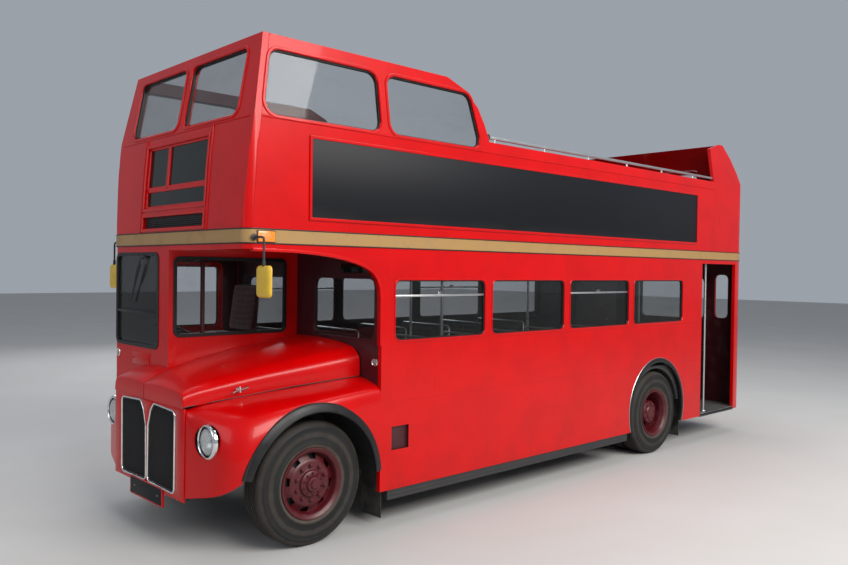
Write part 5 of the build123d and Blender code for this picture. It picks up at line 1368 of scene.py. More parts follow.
def dish(profile, place, segments, hole_span, hole_width):
    """Pressed wheel disc with its rim, and eight hand holes cut between two radii."""
    shape = Shape().turn(profile, place, (0, 1, 0), segments)
    pitch = segments // 8
    cut_out = []
    for face in shape.work.faces:
        middle = face.calc_center_median() - Vector(place)
        radius, step = hypot(middle.x, middle.z), atan2(middle.z, middle.x) / (2 * pi) * segments
        if hole_span[0] < radius < hole_span[1] and middle.y < 0.09 and step % pitch < hole_width:
            cut_out.append(face)
    bmesh.ops.delete(shape.work, geom=cut_out, context="FACES")
    bmesh.ops.recalc_face_normals(shape.work, faces=shape.work.faces)
    shell = baked(shape.mesh(outward=False), [("SOLIDIFY", {"thickness": 0.005, "offset": -1.0})])
    shell.materials.append(MAROON)
    return shell


def nut(radius, height, sides=6):
    """Wheel nut with its stud."""
    shape = Shape()
    profile = [(radius * 1.35, 0.0), (radius * 1.35, 0.003), (radius, 0.004), (radius, height)]
    shape.turn(profile + [(radius * 0.8, height + 0.002), (0.0, height + 0.002)], (0, 0, 0), (0, 1, 0), sides)
    shape.turn([(radius * 0.5, 0.0), (radius * 0.5, height + 0.01), (0.0, height + 0.011)], (0, 0, 0), (0, 1, 0), 8)
    return shape.mesh()


def wheels():
    """Front wheels with a raised hub, deep rear pairs, their brake drums, nuts and tyres."""
    drum = [(0.0, 0.026), (0.1, 0.026), (0.225, 0.018), (0.232, 0.01), (0.232, -0.07), (0.0, -0.07)]
    cap = [(0.04, 0.15), (0.04, 0.158), (0.032, 0.166), (0.0, 0.168)]
    sets = [
        # name, side, axle x, disc middle y, profile, segments, holes, slot steps, tyre middles
        ("near_front", 1, FA, 1.0, FRONT_DISH, 96, (0.194, 0.24), 5, [1.0]),
        ("off_front", -1, FA, 1.0, FRONT_DISH, 96, (0.194, 0.24), 5, [1.0]),
        ("near_rear", 1, REAR_AXLE, 0.91, REAR_DISH, 72, (0.188, 0.232), 3, [0.765, 1.055]),
        ("off_rear", -1, REAR_AXLE, 0.91, REAR_DISH, 72, (0.188, 0.232), 3, [0.765, 1.055]),
    ]
    for name, side, x, y, profile, segments, span, width, middles in sets:
        front = x > 0
        hub = (x, y, AXLE_Z)
        parts = [dish(profile, hub, segments, span, width)]
        back = Shape().turn([(radius, along - 0.02 * (not front)) for radius, along in drum], hub, (0, 1, 0), 40)
        parts.append(back.mesh(DARK))
        if front:
            parts.append(Shape().turn(cap, hub, (0, 1, 0), 6).mesh(MAROON))
        rings = [(10, 0.143, 0.093, 0.0155, 0.02, 0.3), (10, 0.086, 0.12, 0.0085, 0.01, 0.3)]
        if not front:
            rings = [(10, 0.17, 0.038, 0.0155, 0.02, 0.1), (8, 0.104, 0.202, 0.0085, 0.01, 0.1)]
        for count, radius, depth, size, height, phase in rings:
            centre = (x, y + depth, AXLE_Z)
            parts.append(RING.grow(nut(size, height), MAROON, Count=count, Radius=radius, Phase=phase, Centre=centre))
        if side < 0:
            parts = [mirrored(part) for part in parts]
        plural = "" if front else "s"
        piece(f"{name}.rim", parts, replaces=[f"{name}_wheel{plural}"], body=name, angle=40.0)
        places = [side * middle for middle in middles]
        tyre(f"{name}.tyre", name, x, places, [f"{name}_tyre{plural}"])


TYRE_SECTION = [
    (0.27, -0.104), (0.291, -0.112), (0.3, -0.12), (0.318, -0.1235), (0.322, -0.127),
    (0.334, -0.127), (0.338, -0.1245), (0.38, -0.127), (0.425, -0.1265), (0.448, -0.123),
    (0.452, -0.125), (0.462, -0.1235), (0.466, -0.119), (0.482, -0.112), (0.495, -0.102),
    (0.5035, -0.09), (0.5065, -0.078), (0.507, -0.066),
]
GROOVES = (-0.05, -0.017, 0.017, 0.05)


def tyre(name, body, x, middles, replaced):
    """Tyres with ringed walls, circular grooves and skewed bars across the tread."""
    tread = []
    for groove in GROOVES:
        tread += [
            (0.5075, groove - 0.0055), (0.4985, groove - 0.0035), (0.4985, groove + 0.0035),
            (0.5075, groove + 0.0055),
        ]
    other = [(radius, -along) for radius, along in TYRE_SECTION[::-1]]
    section = TYRE_SECTION + tread + other + TYRE_SECTION[:1]
    parts = []
    for middle in middles:
        shape = Shape().turn(section, (x, middle, AXLE_Z), (0, 1, 0), 120)
        mesh = shape.mesh(TYRE)
        parts.append(mesh)
        for along, skew in ((-0.0735, 0.5), (0.0735, -0.5), (-0.0335, -0.4), (0.0, 0.4), (0.0335, -0.4)):
            bar = Shape().slab((0.5, 0.5078), (along - 0.0125, along + 0.0125), (-0.0052, 0.0052), 0.0012).mesh()
            for vert in bar.vertices:
                vert.co.z += (vert.co.y - along) * skew
            bar.materials.append(TYRE)
            parts.append(RING.grow(bar, TYRE, Count=96, Radius=0.0, Phase=0.0, Centre=(x, middle, AXLE_Z)))
    piece(name, parts, replaces=replaced, body=body, angle=40.0)


# Cab
def cab_trims():
    """Cab window frames, hatch, wiper, dash and dials, the canopy's edge and the sliding door's trim."""
    rubbers, dark, red = Shape(), Shape(), Shape()
    frame_lip = square_lip(-0.02, 0.012, -0.02, 0.007)
    screen = round_corners(corners((-1.145, -0.26), (1.53, 2.365)), 0.06)
    rubbers.sweep(*on_wall(screen, CAB_FRONT_X), frame_lip)
    side = round_corners(corners((FA - 0.5, FA + 0.625), (1.65, 2.33)), 0.05)
    points = side_view(side, -0.06)
    rubbers.sweep(points, at(0, 1, 0), frame_lip)
    rubbers.slab((CAB_FRONT_X - 0.022, CAB_FRONT_X + 0.006), (-1.128, -0.277), (1.823, 1.847), 0.004)
    # The cab's side window post in dark maroon: painted shade on it.
    red.slab((FA + 0.345, FA + 0.375), (-0.085, -0.048), (1.655, 2.325), 0.006)
    hatch = Shape().slab((CAB_FRONT_X - 0.002, CAB_FRONT_X + 0.005), (-0.78, -0.42), (1.36, 1.47), 0.002)
    for y in (-0.76, -0.44):
        hatch.turn([(0.0, 0.008), (0.006, 0.007), (0.008, 0.0)], (CAB_FRONT_X + 0.004, y, 1.415), (1, 0, 0), 12)
    piece("cab.hatch", hatch, RED)
    pivot = at(CAB_FRONT_X + 0.01, -0.56, 2.335)
    dark.turn([(0.0, 0.022), (0.014, 0.02), (0.02, 0.008), (0.022, -0.008), (0.0, -0.008)], pivot, (1, 0, 0), 20)
    tip = pivot + at(0.004, -0.15, -0.24)
    dark.tube([pivot + at(0.014, 0, 0), pivot + at(0.024, -0.07, -0.11), tip + at(0.008, 0, 0)], 0.0055, 8)
    blade = at(0.0, -0.1, -0.17)
    dark.tube([tip - blade, tip + blade * 0.2, tip + blade], 0.008, 6)
    dark.slab((CAB_FRONT_X - 0.3, CAB_FRONT_X - 0.06), (-1.1, -0.3), (1.46, 1.52), 0.02)
    dark.slab((CAB_FRONT_X - 0.33, CAB_FRONT_X - 0.28), (-0.8, -0.46), (1.5, 1.66), 0.02)
    curve = [
        (-0.634, 1.6), (-0.634, 2.0), (-0.622, 2.105), (-0.59, 2.178), (-0.535, 2.235), (-0.455, 2.277),
        (-0.36, 2.308),
    ]
    curve += [(-0.25, 2.334), (-0.12, 2.356), (0.04, 2.372), (0.24, 2.385), (0.625, 2.391)]
    points = [at(FA + x, HALF_WIDTH - 0.0225, z) for x, z in curve]
    edge = [(-0.012, -0.021), (-0.012, 0.021), (-0.008, 0.0235), (0.01, 0.0235), (0.014, 0.021), (0.014, -0.021)]
    canopy = Shape().sweep(points, at(0, 1, 0), edge, closed=False)
    piece("canopy.edge", canopy, RED)
    piece("cab.gaskets", rubbers, RUBBER)
    piece("cab.bars", red, INNER_RED_AND_SHADE)
    piece("cab.wiper_and_dash", dark, DARK)
    dials = Shape()
    for place in range(3):
        centre = (CAB_FRONT_X - 0.331, -0.72 + place * 0.09, 1.59)
        dials.turn(
            [(0.036, 0.0), (0.038, 0.008), (0.034, 0.01), (0.031, 0.004), (0.0, 0.004)], centre, (-1, 0, 0.2), 24,
        )
    piece("cab.dials", dials, CHROME)
    handle = Shape()
    grip_x, grip_y = FA - 0.46, -HALF_WIDTH - 0.035
    handle.tube([(grip_x, grip_y, 1.42), (grip_x, grip_y, 1.58)], 0.008, 10)
    handle.slab((grip_x - 0.012, grip_x + 0.012), (grip_y - 0.001, grip_y + 0.004), (1.4, 1.6), 0.001)
    piece("cab_door.handle", handle, CHROME, body="cab_door")
    door_lip = Shape()
    window = round_corners(corners((FA - 0.43, FA + 0.13), (1.64, 2.265)), 0.045)[::-1]
    points = side_view(window, -HALF_WIDTH - 0.033)
    door_lip.sweep(points, at(0, -1, 0), square_lip(-0.014, 0.006, -0.008, 0.002))
    piece("cab_door.gasket", door_lip, RUBBER, body="cab_door")


def steering_wheel():
    """Rim, three spokes, hub and column."""
    centre, foot = at(FA + 0.33, DRIVER_Y, 1.65), at(FA + 0.56, DRIVER_Y, 1.215)
    way = (centre - foot).normalized()
    first = at(0, 1, 0)
    second = way.cross(first)
    rim, hub = Shape(), Shape()
    ring = [
        centre + (first * cos(2 * pi * step / 56) + second * sin(2 * pi * step / 56)) * 0.215
        for step in range(56)
    ]
    rim.tube(ring, 0.0125, 12, closed=True)
    for step in range(3):
        angle = 2 * pi * step / 3 + pi / 6
        spoke = first * cos(angle) + second * sin(angle)
        hub.tube(
            [centre + spoke * 0.03 - way * 0.01, centre + spoke * 0.12 - way * 0.012, centre + spoke * 0.212], 0.008,
            8,
        )
    hub.turn(
        [(0.0, 0.02), (0.03, 0.016), (0.044, 0.002), (0.044, -0.014), (0.022, -0.03), (0.022, -0.48), (0.0, -0.48)],
        centre, way, 28,
    )
    piece("steering.rim", rim, RUBBER, ["steering_wheel"], angle=60.0)
    piece("steering.hub", hub, DARK, angle=50.0)


# Mirrors, lamps and plates
def mirrors():
    """Door mirrors on their arms."""
    backs, arms, glasses = Shape(), Shape(), Shape()
    for side in (1, -1):
        middle = side * 1.36
        outline = round_corners(corners((middle - 0.098, middle + 0.098), (2.032, 2.268)), 0.035)
        rows = []
        for x, grow in ((0.612, 0.0), (0.616, 0.0), (0.628, -0.006), (0.636, -0.022), (0.64, -0.055)):
            rows.append(
                [
                    at(FA + x, middle + (y - middle) * (1 + grow * 9), 2.15 + (z - 2.15) * (1 + grow * 7))
                    for y, z in outline
                ]
            )
        backs.skin(rows, closed=True, ends=True)
        plate = [(middle + (y - middle) * 0.93, 2.15 + (z - 2.15) * 0.94) for y, z in outline]
        glasses.skin([front_view(plate, FA + x) for x in (0.6105, 0.613)], closed=True, ends=True)
        arm_x = FA + 0.623
        arms.tube(
            [
                (arm_x, side * 1.205, 2.479), (arm_x, side * 1.33, 2.479), (arm_x, side * 1.352, 2.472),
                (arm_x, side * 1.36, 2.452), (arm_x, side * 1.36, 2.25),
            ],
            0.0085, 12,
        )
        arms.turn(
            [(0.0, 0.0), (0.026, 0.0), (0.026, 0.005), (0.012, 0.01), (0.0, 0.01)],
            (arm_x, side * (HALF_WIDTH + 0.004), 2.479), (0, side, 0), 20,
        )
        arms.turn(
            [(0.0, 0.024), (0.013, 0.022), (0.013, -0.022), (0.0, -0.024)], (arm_x, middle, 2.285), (0, 0, 1), 16,
        )
    piece("mirror.backs", backs, YELLOW, ["mirrors"], angle=50.0)
    piece("mirror.arms", arms, DARK)
    piece("mirror.faces", glasses, CHROME)


def lamps_and_plates():
    """Marker lamps, side lamps and the blank number plates."""
    rings, clear, amber, red, bezel = Shape(), Shape(), Shape(), Shape(), Shape()
    places = [
        # x, y, z, radius, facing, lens
        (BULKHEAD_X, 1.135, 1.45, 0.03, 1, clear),
        (CAB_FRONT_X, -1.09, 1.435, 0.03, 1, clear),
        (TAIL_X, 1.01, 0.98, 0.042, -1, red),
        (TAIL_X, 1.01, 0.86, 0.042, -1, amber),
        (TAIL_X, -1.01, 0.98, 0.042, -1, red),
        (TAIL_X, -1.01, 0.86, 0.042, -1, amber),
    ]
    for x, y, z, radius, facing, lens_shape in places:
        axis, centre = (facing, 0, 0), (x, y, z)
        ring = [
            (radius + 0.008, 0.0), (radius + 0.008, 0.008), (radius + 0.003, 0.013), (radius - 0.002, 0.01),
            (radius - 0.002, 0.0),
        ]
        rings.turn(ring, centre, axis, 32)
        dome = [(radius - 0.002, 0.002), (radius - 0.004, 0.01), (radius * 0.6, 0.018), (0.0, 0.0205), (0.0, 0.002)]
        lens_shape.turn(dome, centre, axis, 32)
    for side in (1, -1):
        y = sorted((side * (HALF_WIDTH + 0.004), side * (HALF_WIDTH + 0.021)))
        amber.slab((FA + 0.446, FA + 0.594), y, (2.446, 2.529), 0.008)
        y = sorted((side * (HALF_WIDTH + 0.004), side * (HALF_WIDTH + 0.009)))
        bezel.slab((FA + 0.44, FA + 0.6), y, (2.44, 2.535), 0.002)
    piece("lamp.rings", rings, CHROME, ["marker_lamps"])
    piece("lamp.clear_lenses", clear, LAMP_GLASS)
    piece("lamp.amber_lenses", amber, AMBER)
    piece("lamp.red_lenses", red, RED_LENS)
    piece("lamp.bezels", bezel, RUBBER)
    plates, frames, bolts = Shape(), Shape(), []
    plates.slab((NOSE_X - 0.0065, NOSE_X - 0.001), (-0.298, 0.298), (0.31, 0.45), 0.0015)
    plates.slab((TAIL_X - 0.007, TAIL_X), (-0.614, -0.106), (0.804, 0.911), 0.0015)
    frames.sweep(
        *on_wall(round_corners(corners((-0.3, 0.3), (0.308, 0.452)), 0.012), NOSE_X - 0.006),
        square_lip(-0.006, 0.009, -0.016, 0.005),
    )
    frames.slab((NOSE_X - 0.018, NOSE_X - 0.007), (-0.306, 0.306), (0.302, 0.458), 0.001)
    screw = Shape().turn([(0.0, 0.002), (0.006, 0.0015), (0.007, -0.002)], (0, 0, 0), (1, 0, 0), 10).mesh()
    bolts.append(in_line(screw, ALLOY, 2, (NOSE_X - 0.002, -0.22, 0.38), (0.0, 0.44, 0.0)))
    piece("plate.faces", plates, BOARD, ["number_plates"])
    piece("plate.frame", frames, RED)
    piece("plate.screws", bolts)


# Rails and poles
def handrails():
    """Grab poles, upper deck rails and the stair guard, with their flanges."""
    rails, flanges = Shape(), Shape()
    poles = [(FA - 6.5, 1.11, PLATFORM_Z), (FA - 6.1, 0.33, SALOON_Z)]
    poles += [(FA - 4.42, y, SALOON_Z) for y in (0.29, -0.29)]
    poles += [(FA - 2.3, y, SALOON_Z) for y in (0.25, -0.25)]
    foot_ring = [(0.016, 0.02), (0.024, 0.014), (0.036, 0.007), (0.038, 0.0)]
    for x, y, foot in poles:
        rails.tube([(x, y, foot), (x, y, 1.4), (x, y, DECK_UNDER_Z)], 0.016, 16)
        flanges.turn(foot_ring, (x, y, foot), (0, 0, 1), 24)
        flanges.turn(foot_ring, (x, y, DECK_UNDER_Z), (0, 0, -1), 24)
    for side in (1, -1):
        y, z = side * 1.165, 3.545
        front_x = FA - 1.995
        rails.tube([(QUARTER_X, y, z), (-1.0, y, z), (front_x, y, z)], 0.0168, 14)
        for post in range(6):
            x = front_x - 0.1 - post * 0.78
            rails.tube([(x, y, RAIL_WALL_Z), (x, y, z)], 0.01, 10)
            flanges.turn([(0.01, 0.008), (0.022, 0.005), (0.024, 0.0)], (x, y, RAIL_WALL_Z), (0, 0, 1), 18)
        flanges.turn([(0.017, 0.014), (0.03, 0.008), (0.032, 0.0)], (front_x, y, z), (-1, 0, 0), 20)
    guard_xs = (NEWEL_X - 0.56, NEWEL_X - 0.05, NEWEL_X + 0.45, FA - 5.81)
    top = DECK_Z + 0.9
    for x in guard_xs:
        rails.tube([(x, -0.46, DECK_Z), (x, -0.46, top)], 0.014, 12)
        flanges.turn([(0.014, 0.018), (0.03, 0.008), (0.033, 0.0)], (x, -0.46, DECK_Z), (0, 0, 1), 20)
    rails.tube(
        [(guard_xs[0] - 0.02, -0.46, top), (NEWEL_X, -0.46, top), (guard_xs[-1] + 0.02, -0.46, top)], 0.0158, 14,
    )
    piece("handrail.tubes", rails, ALLOY, ["handrails"], angle=50.0)
    piece("handrail.flanges", flanges, ALLOY, angle=50.0)


# Seats
def pad(lengths, across, heights, cap):
    """A stuffed pad in a space given by its front and rear lines, its edges held and its faces swollen."""
    shape = Shape()
    shape.slab((0.006, 0.994), (across[0] + 0.006, across[1] - 0.006), (0.01, 0.99), 0.0)
    mesh = shape.mesh()
    (rear_low, rear_high), (front_low, front_high) = lengths
    size = (front_low - rear_low + front_high - rear_high) / 2
    for vert in mesh.vertices:
        vert.co.x *= size
        vert.co.z *= heights[1] - heights[0]
    mesh = baked(
        mesh, [("REMESH", {"mode": "VOXEL", "voxel_size": PAD_VOXEL}), ("SMOOTH", {"factor": 0.5, "iterations": 3})],
    )
    tall = heights[1] - heights[0]
    mesh = stuffed(mesh, (size, across, tall), cap)
    for vert in mesh.vertices:
        share_x, share_z = vert.co.x / size, vert.co.z / tall
        valley = max(0.0, 1.0 - abs(vert.co.y) / 0.022) ** 2
        if across[1] - across[0] > 0.6:
            vert.co.z -= 0.006 * valley * (share_z > 0.7)
            share_x -= 0.006 * valley / size * (share_x > 0.7)
        low = rear_low + (rear_high - rear_low) * share_z
        high = front_low + (front_high - front_low) * share_z
        vert.co.x = low + (high - low) * share_x
        vert.co.z = vert.co.z + heights[0]
    mesh.update()
    return mesh


def stuffed(mesh, space, cap):
    """The pad after its stuffing pushes it out: a short cloth run with its edges pinned."""
    size, across, tall = space
    holder = linked("stuffing", mesh)
    start = [vert.co.copy() for vert in mesh.vertices]
    held = holder.vertex_groups.new(name="edges")
    for vert in mesh.vertices:
        near = 0
        for value, low, high in ((vert.co.x, 0.0, size), (vert.co.y, *across), (vert.co.z, 0.0, tall)):
            near += min(abs(value - low), abs(value - high)) < PAD_EDGE
        if near >= 2:
            held.add([vert.index], 1.0, "REPLACE")
    cloth_run = holder.modifiers.new("cloth", "CLOTH")
    for label, value in {
        "vertex_group_mass": "edges",
        "use_pressure": True,
        "uniform_pressure_force": PAD_PRESSURE,
        "quality": 5,
        "tension_stiffness": 12,
        "compression_stiffness": 12,
    }.items():
        setattr(cloth_run.settings, label, value)
    cloth_run.settings.effector_weights.gravity = 0.0
    cloth_run.point_cache.frame_start, cloth_run.point_cache.frame_end = 1, PAD_FRAMES
    scene = bpy.context.scene
    for moment in range(1, PAD_FRAMES + 1):
        scene.frame_set(moment)
    swollen = bpy.data.meshes.new_from_object(holder.evaluated_get(bpy.context.evaluated_depsgraph_get()))
    holder.modifiers.remove(cloth_run)
    bpy.data.objects.remove(holder)
    scene.frame_set(1)
    for vert, before in zip(swollen.vertices, start):
        move = vert.co - before
        if move.length > cap:
            vert.co = before + move * (cap / move.length)
    return swollen


def seat_parts(width):
    """Squab, back and piping of one seat, facing forward over its own foot at the origin."""
    half = width / 2
    squab = pad(((-0.15, -0.15), (0.19, 0.19)), (-half + 0.006, half - 0.006), (0.336, 0.43), 0.016)
    back = pad(((-0.248, -0.28), (-0.166, -0.232)), (-half + 0.006, half - 0.006), (0.44, 0.9), 0.014)
    cord = Shape()
    inner = half - 0.014
    loop = round_corners(corners((-0.142, 0.184), (-inner, inner)), 0.03, 4)
    cord.tube([(x, y, 0.424) for x, y in loop], 0.0045, 6, closed=True)
    loop = round_corners(corners((-inner, inner), (0.452, 0.888)), 0.04, 4)
    cord.tube([(-0.171 - (z - 0.44) * 0.145, y, z) for y, z in loop], 0.0045, 6, closed=True)
    return squab, back, cord.mesh()


def seat_frame(width):
    """Legs, seat tray and the bright top rail of one seat, over its foot at the origin."""
    half = width / 2
    bars, rail = Shape(), Shape()
    for y in (-half + 0.04, half - 0.04):
        bars.tube([(-0.165, y, 0.004), (-0.15, y, 0.322)], 0.011, 10)
        bars.tube([(0.115, y, 0.004), (0.062, y, 0.322)], 0.011, 10)
        bars.tube([(-0.158, y, 0.16), (0.088, y, 0.16)], 0.008, 8)
        for x in (-0.166, 0.116):
            bars.turn([(0.0, 0.008), (0.02, 0.007), (0.024, 0.0)], (x, y, 0.0), (0, 0, 1), 12)
    bars.slab((-0.15, 0.18), (-half + 0.012, half - 0.012), (0.322, 0.334), 0.003)
    bars.slab((-0.262, -0.232), (-half + 0.02, half - 0.02), (0.335, 0.44), 0.004)
    inner = half - 0.012
    rail.tube(
        [(-0.25, -inner, 0.4), (-0.262, -inner, 0.72), (-0.262, -inner, 0.898), (-0.258, -inner + 0.012, 0.921)]
        + [(-0.255, -inner + 0.035, 0.927), (-0.255, 0.0, 0.927), (-0.255, inner - 0.035, 0.927)]
        + [(-0.258, inner - 0.012, 0.921), (-0.262, inner, 0.898), (-0.262, inner, 0.72), (-0.25, inner, 0.4)],
        0.0125,
        10,
    )
    return bars.mesh(), rail.mesh()


def seats():
    """Both decks' seats, the benches over the rear wheels and the driver's seat."""
    squab, back, cord = seat_parts(SEAT_WIDTH)
    bars, rail = seat_frame(SEAT_WIDTH)
    rows = [
        # deck, first x, side, floor, pitch, count
        ("lower", FA - 1.33, 1, SALOON_Z, 0.69, 5),
        ("lower", FA - 1.33, -1, SALOON_Z, 0.69, 5),
        ("upper", FA - 0.17, 1, DECK_Z, 0.72, 9),
        ("upper", FA - 0.17, -1, DECK_Z, 0.72, 8),
    ]
    pads, frames = {"lower": [], "upper": []}, []
    for deck, x, side, floor, pitch, count in rows:
        place = {"Count": count, "Start": (x, side * 0.725, floor), "Step": (-pitch, 0.0, 0.0)}
        for seed in (squab, back):
            pads[deck].append(LINE.grow(seed.copy(), CLOTH, **place))
        pads[deck].append(LINE.grow(cord.copy(), PIPING, **place))
        frames.append(LINE.grow(bars.copy(), DARK, **place))
        frames.append(LINE.grow(rail.copy(), ALLOY, **place))
    for side in (1, -1):
        for seed, finish in ((squab, CLOTH), (back, CLOTH), (cord, PIPING)):
            bench = seed.copy()
            for vert in bench.vertices:
                x, y, z = vert.co
                back_part = z > 0.432 and x < -0.12
                away = 1.035 - (x + 0.15) * 1.2 if x > -0.152 else 1.045 + (-0.152 - x) * 0.7
                level = 1.091 + (z - 0.336) * 0.92 if not back_part else 1.18 + (z - 0.44) * 0.98
                vert.co = (REAR_AXLE + y * 1.3, side * away, level)
            if side < 0:
                bench.flip_normals()
            bench.materials.clear()
            bench.materials.append(finish)
            pads["lower"].append(bench)
    for deck, meshes in pads.items():
        made = piece(f"seats.{deck}", meshes, replaces=["seats"] if deck == "lower" else (), angle=60.0)
    piece("seat_frames.all", frames, replaces=["seat_frames"], angle=50.0)
    squab, back, cord = seat_parts(DRIVER_SEAT_WIDTH)
    parts = []
    for seed, finish in ((squab, CLOTH), (back, CLOTH), (cord, PIPING)):
        seed.transform(Matrix.Translation((FA - 0.17, DRIVER_Y, 1.185)))
        seed.materials.clear()
        seed.materials.append(finish)
        parts.append(seed)
    made = piece("driver_seat.pads", parts, replaces=["driver_seat"], angle=60.0)
    stand = Shape()
    stand.slab((FA - 0.33, FA + 0.02), (-0.84, -0.42), (1.495, 1.518), 0.006)
    stand.slab((FA - 0.26, FA - 0.12), (-0.7, -0.56), (1.216, 1.495), 0.01)
    stand.slab((FA - 0.285, FA - 0.095), (-0.725, -0.535), (1.2155, 1.232), 0.003)
    piece("driver_seat.stand", stand, DARK)


# Inside and underneath
def inside():
    """Canopy lining, saloon ceiling and lamps, and the stairs' bright nosings."""
    lining, strips = Shape(), Shape()
    # The canopy's underside in dark maroon: painted shade under the canopy.
    lining.slab((BULKHEAD_X + 0.001, 3.915), (-0.058, 1.168), (2.4285, 2.4338), 0.001)
    piece("canopy.lining", lining, INNER_RED_AND_SHADE)
    rib = Shape().slab((-0.014, 0.014), (-1.16, 1.16), (2.418, 2.4338), 0.005).mesh()
    roof = Shape().slab((-4.02, BULKHEAD_X - 0.041), (-0.47, 1.162), (2.4305, 2.4338), 0.001)
    roof.slab((-2.455, BULKHEAD_X - 0.041), (-1.162, -0.47), (2.4305, 2.4338), 0.001)
    roof_mesh = roof.mesh(CREAM)
    ceiling = [in_line(rib, CREAM, 8, (BULKHEAD_X - 0.2, 0.0, 0.0), (-0.6285, 0.0, 0.0)), roof_mesh]
    piece("saloon.ceiling", ceiling)
    lamp = Shape().turn(
        [(0.0, -0.03), (0.04, -0.024), (0.058, -0.006), (0.06, 0.0)], (0, 0, 2.43), (0, 0, 1), 20,
    ).mesh()
    bulbs = [in_line(lamp, LAMP_GLASS, 6, (BULKHEAD_X - 0.52, 0.55, 0.0), (-0.95, 0.0, 0.0))]
    piece("saloon.lamps", bulbs, angle=60.0)
    rise, going = (DECK_Z - PLATFORM_Z) / 9, 0.2
    nosing = Shape().slab((-0.006, 0.026), (-1.16, -0.475), (-0.026, 0.0035), 0.003).mesh()
    steps = in_line(nosing, ALLOY, 5, (NEWEL_X, 0.0, PLATFORM_Z + rise * 4), (going, 0.0, rise))
    for step in range(3):
        angle = radians(180 + 30 * step)
        way = at(cos(angle), sin(angle), 0)
        top = PLATFORM_Z + rise * (step + 1)
        begin, end = at(NEWEL_X, -0.5, top) + way * 0.03, at(NEWEL_X, -0.5, top) + way * 0.63
        strips.sweep([begin, end], at(0, 0, 1), oblong(-0.026, 0.004, -0.02, 0.003), closed=False)
    strips.slab((FA - 6.217 - 0.022, FA - 6.217 + 0.004), (-0.47, 1.165), (0.642, 0.6635), 0.002)
    strips.slab((REAR_POST_X + 0.01, PLATFORM_X - 0.01), (HALF_WIDTH - 0.032, HALF_WIDTH), (0.352, 0.3735), 0.003)
    strips_mesh = strips.mesh(ALLOY)
    piece("stair.nosings", [steps, strips_mesh])


def engine_parts():
    """Cover, pipes and bolts on the engine block."""
    cover, pipes = Shape(), Shape()
    cover.slab((FA - 0.31, FA + 0.5), (-0.13, 0.13), (1.0, 1.096), 0.022)
    for place in range(6):
        cover.turn(
            [(0.0, 0.012), (0.012, 0.01), (0.016, 0.0)], (FA - 0.24 + place * 0.135, 0.0, 1.088), (0, 0, 1), 12,
        )
    pipes.tube([(FA - 0.3, 0.345, 0.93), (FA + 0.1, 0.352, 0.93), (FA + 0.5, 0.345, 0.93)], 0.028, 16)
    for place in range(6):
        x = FA - 0.25 + place * 0.14
        pipes.tube([(x, 0.3, 0.97), (x, 0.335, 0.96), (x, 0.35, 0.93)], 0.018, 12)
    pipes.tube(
        [(FA + 0.52, 0.2, 1.02), (FA + 0.62, 0.2, 1.03), (FA + 0.72, 0.12, 1.02), (FA + 0.785, 0.05, 1.0)], 0.03, 16,
    )
    dress("engine", CAST, 0.006)
    piece("engine.cover", cover, CAST)
    piece("engine.pipes", pipes, DARK, angle=50.0)
    bolt = Shape().turn([(0.0, 0.008), (0.009, 0.008), (0.01, 0.0)], (0, 0, 0), (0, 1, 0), 6).mesh()
    bolts = [
        in_line(bolt.copy(), DARK, 14, (FA - 0.33, 0.34, z), (0.072, 0.0, 0.0)) for z in (0.56, 0.98)
    ]
    piece("engine.bolts", bolts)


def underneath():
    """Front springs, lifeguard slats and tank straps."""
    springs = []
    for side in (1, -1):
        foot = (FA, side * 0.62, 0.375)
        springs.append(
            COIL.grow(
                bpy.data.meshes.new("none"), DARK, Radius=0.0575, Height=0.475, Turns=7.5, Wire=0.0085, Foot=foot,
            )
        )
    piece("suspension.springs", springs, angle=50.0)
    slat = Shape().slab((-1.87, 1.87), (-0.004, 0.004), (-0.012, 0.012), 0.002).mesh()
    bars = []
    for side in (1, -1):
        for level in (0.268, 0.3, 0.33):
            bars.append(
                in_line(slat.copy(), DARK, 2, (FA - 2.605, side * 1.187 - 0.0125, level - 0.005), (0.0, 0.025, 0.0))
            )
    piece("lifeguard.slats", bars)
    straps = Shape()
    for x in (FA - 2.4, FA - 1.7):
        outline = round_corners(corners((-1.102, -0.618), (0.368, 0.622)), 0.05)
        straps.sweep(
            front_view(outline, x), at(1, 0, 0), [(0.0, -0.02), (0.004, -0.018), (0.004, 0.018), (0.0, 0.02)],
        )
    piece("tank.straps", straps, ALLOY)


def floor_sides(centre, normal):
    """0 for a face that looks up, 1 for any other."""
    return 0 if normal.z > 0.5 else 1


def dress_nodes():
    """The CAD nodes that keep their own form, bevelled and painted."""
    walls = ("near_side", "off_side", "lower_rear", "near_upper_side", "off_upper_side", "upper_front", "upper_rear")
    for node in walls + ("emergency_exit", "cab_door", "cab_shell"):
        dress(node, [RED, INNER_RED_AND_SHADE, DARK], 0.0025, wall_faces)
    # The bulkhead in dark maroon, chassis dark low down; under the canopy the maroon is painted shade.
    dress("bulkhead", [INNER_RED_AND_SHADE, INNER_RED_AND_SHADE, DARK], paint_by=lambda centre, normal: 2 if centre.z < 1.15 else 0)
    for node in ("saloon_floor", "platform", "cab_floor"):
        dress(node, [FLOOR, DARK], 0.002, paint_by=floor_sides)
    dress("deck_floor", [FLOOR, CREAM], 0.001, paint_by=floor_sides)
    dress("staircase", [FLOOR, INNER_RED_AND_SHADE], 0.002, paint_by=floor_sides)
    for bevel, finish, nodes in (
        (0.001, GOLD, ["band"]),
        (0.006, DARK, ["fuel_tank"]),
        (0.004, ALLOY, ["exhaust"]),
        (0.004, DARK, ["tow_eye"]),
        (0.002, FLAP, ["mudflaps"]),
        (0.004, DARK, ["lifeguard_rails"]),
        (0.003, DARK, ["subframes", "front_suspension", "rear_axle", "near_knuckle", "off_knuckle"]),
    ):
        for node in nodes:
            dress(node, finish, bevel)
    for node in ("window_panes", "cab_door_pane", "exit_pane"):
        glazing = frame["nodes"][node].data.materials
        glazing.clear()
        glazing.append(GLASS)


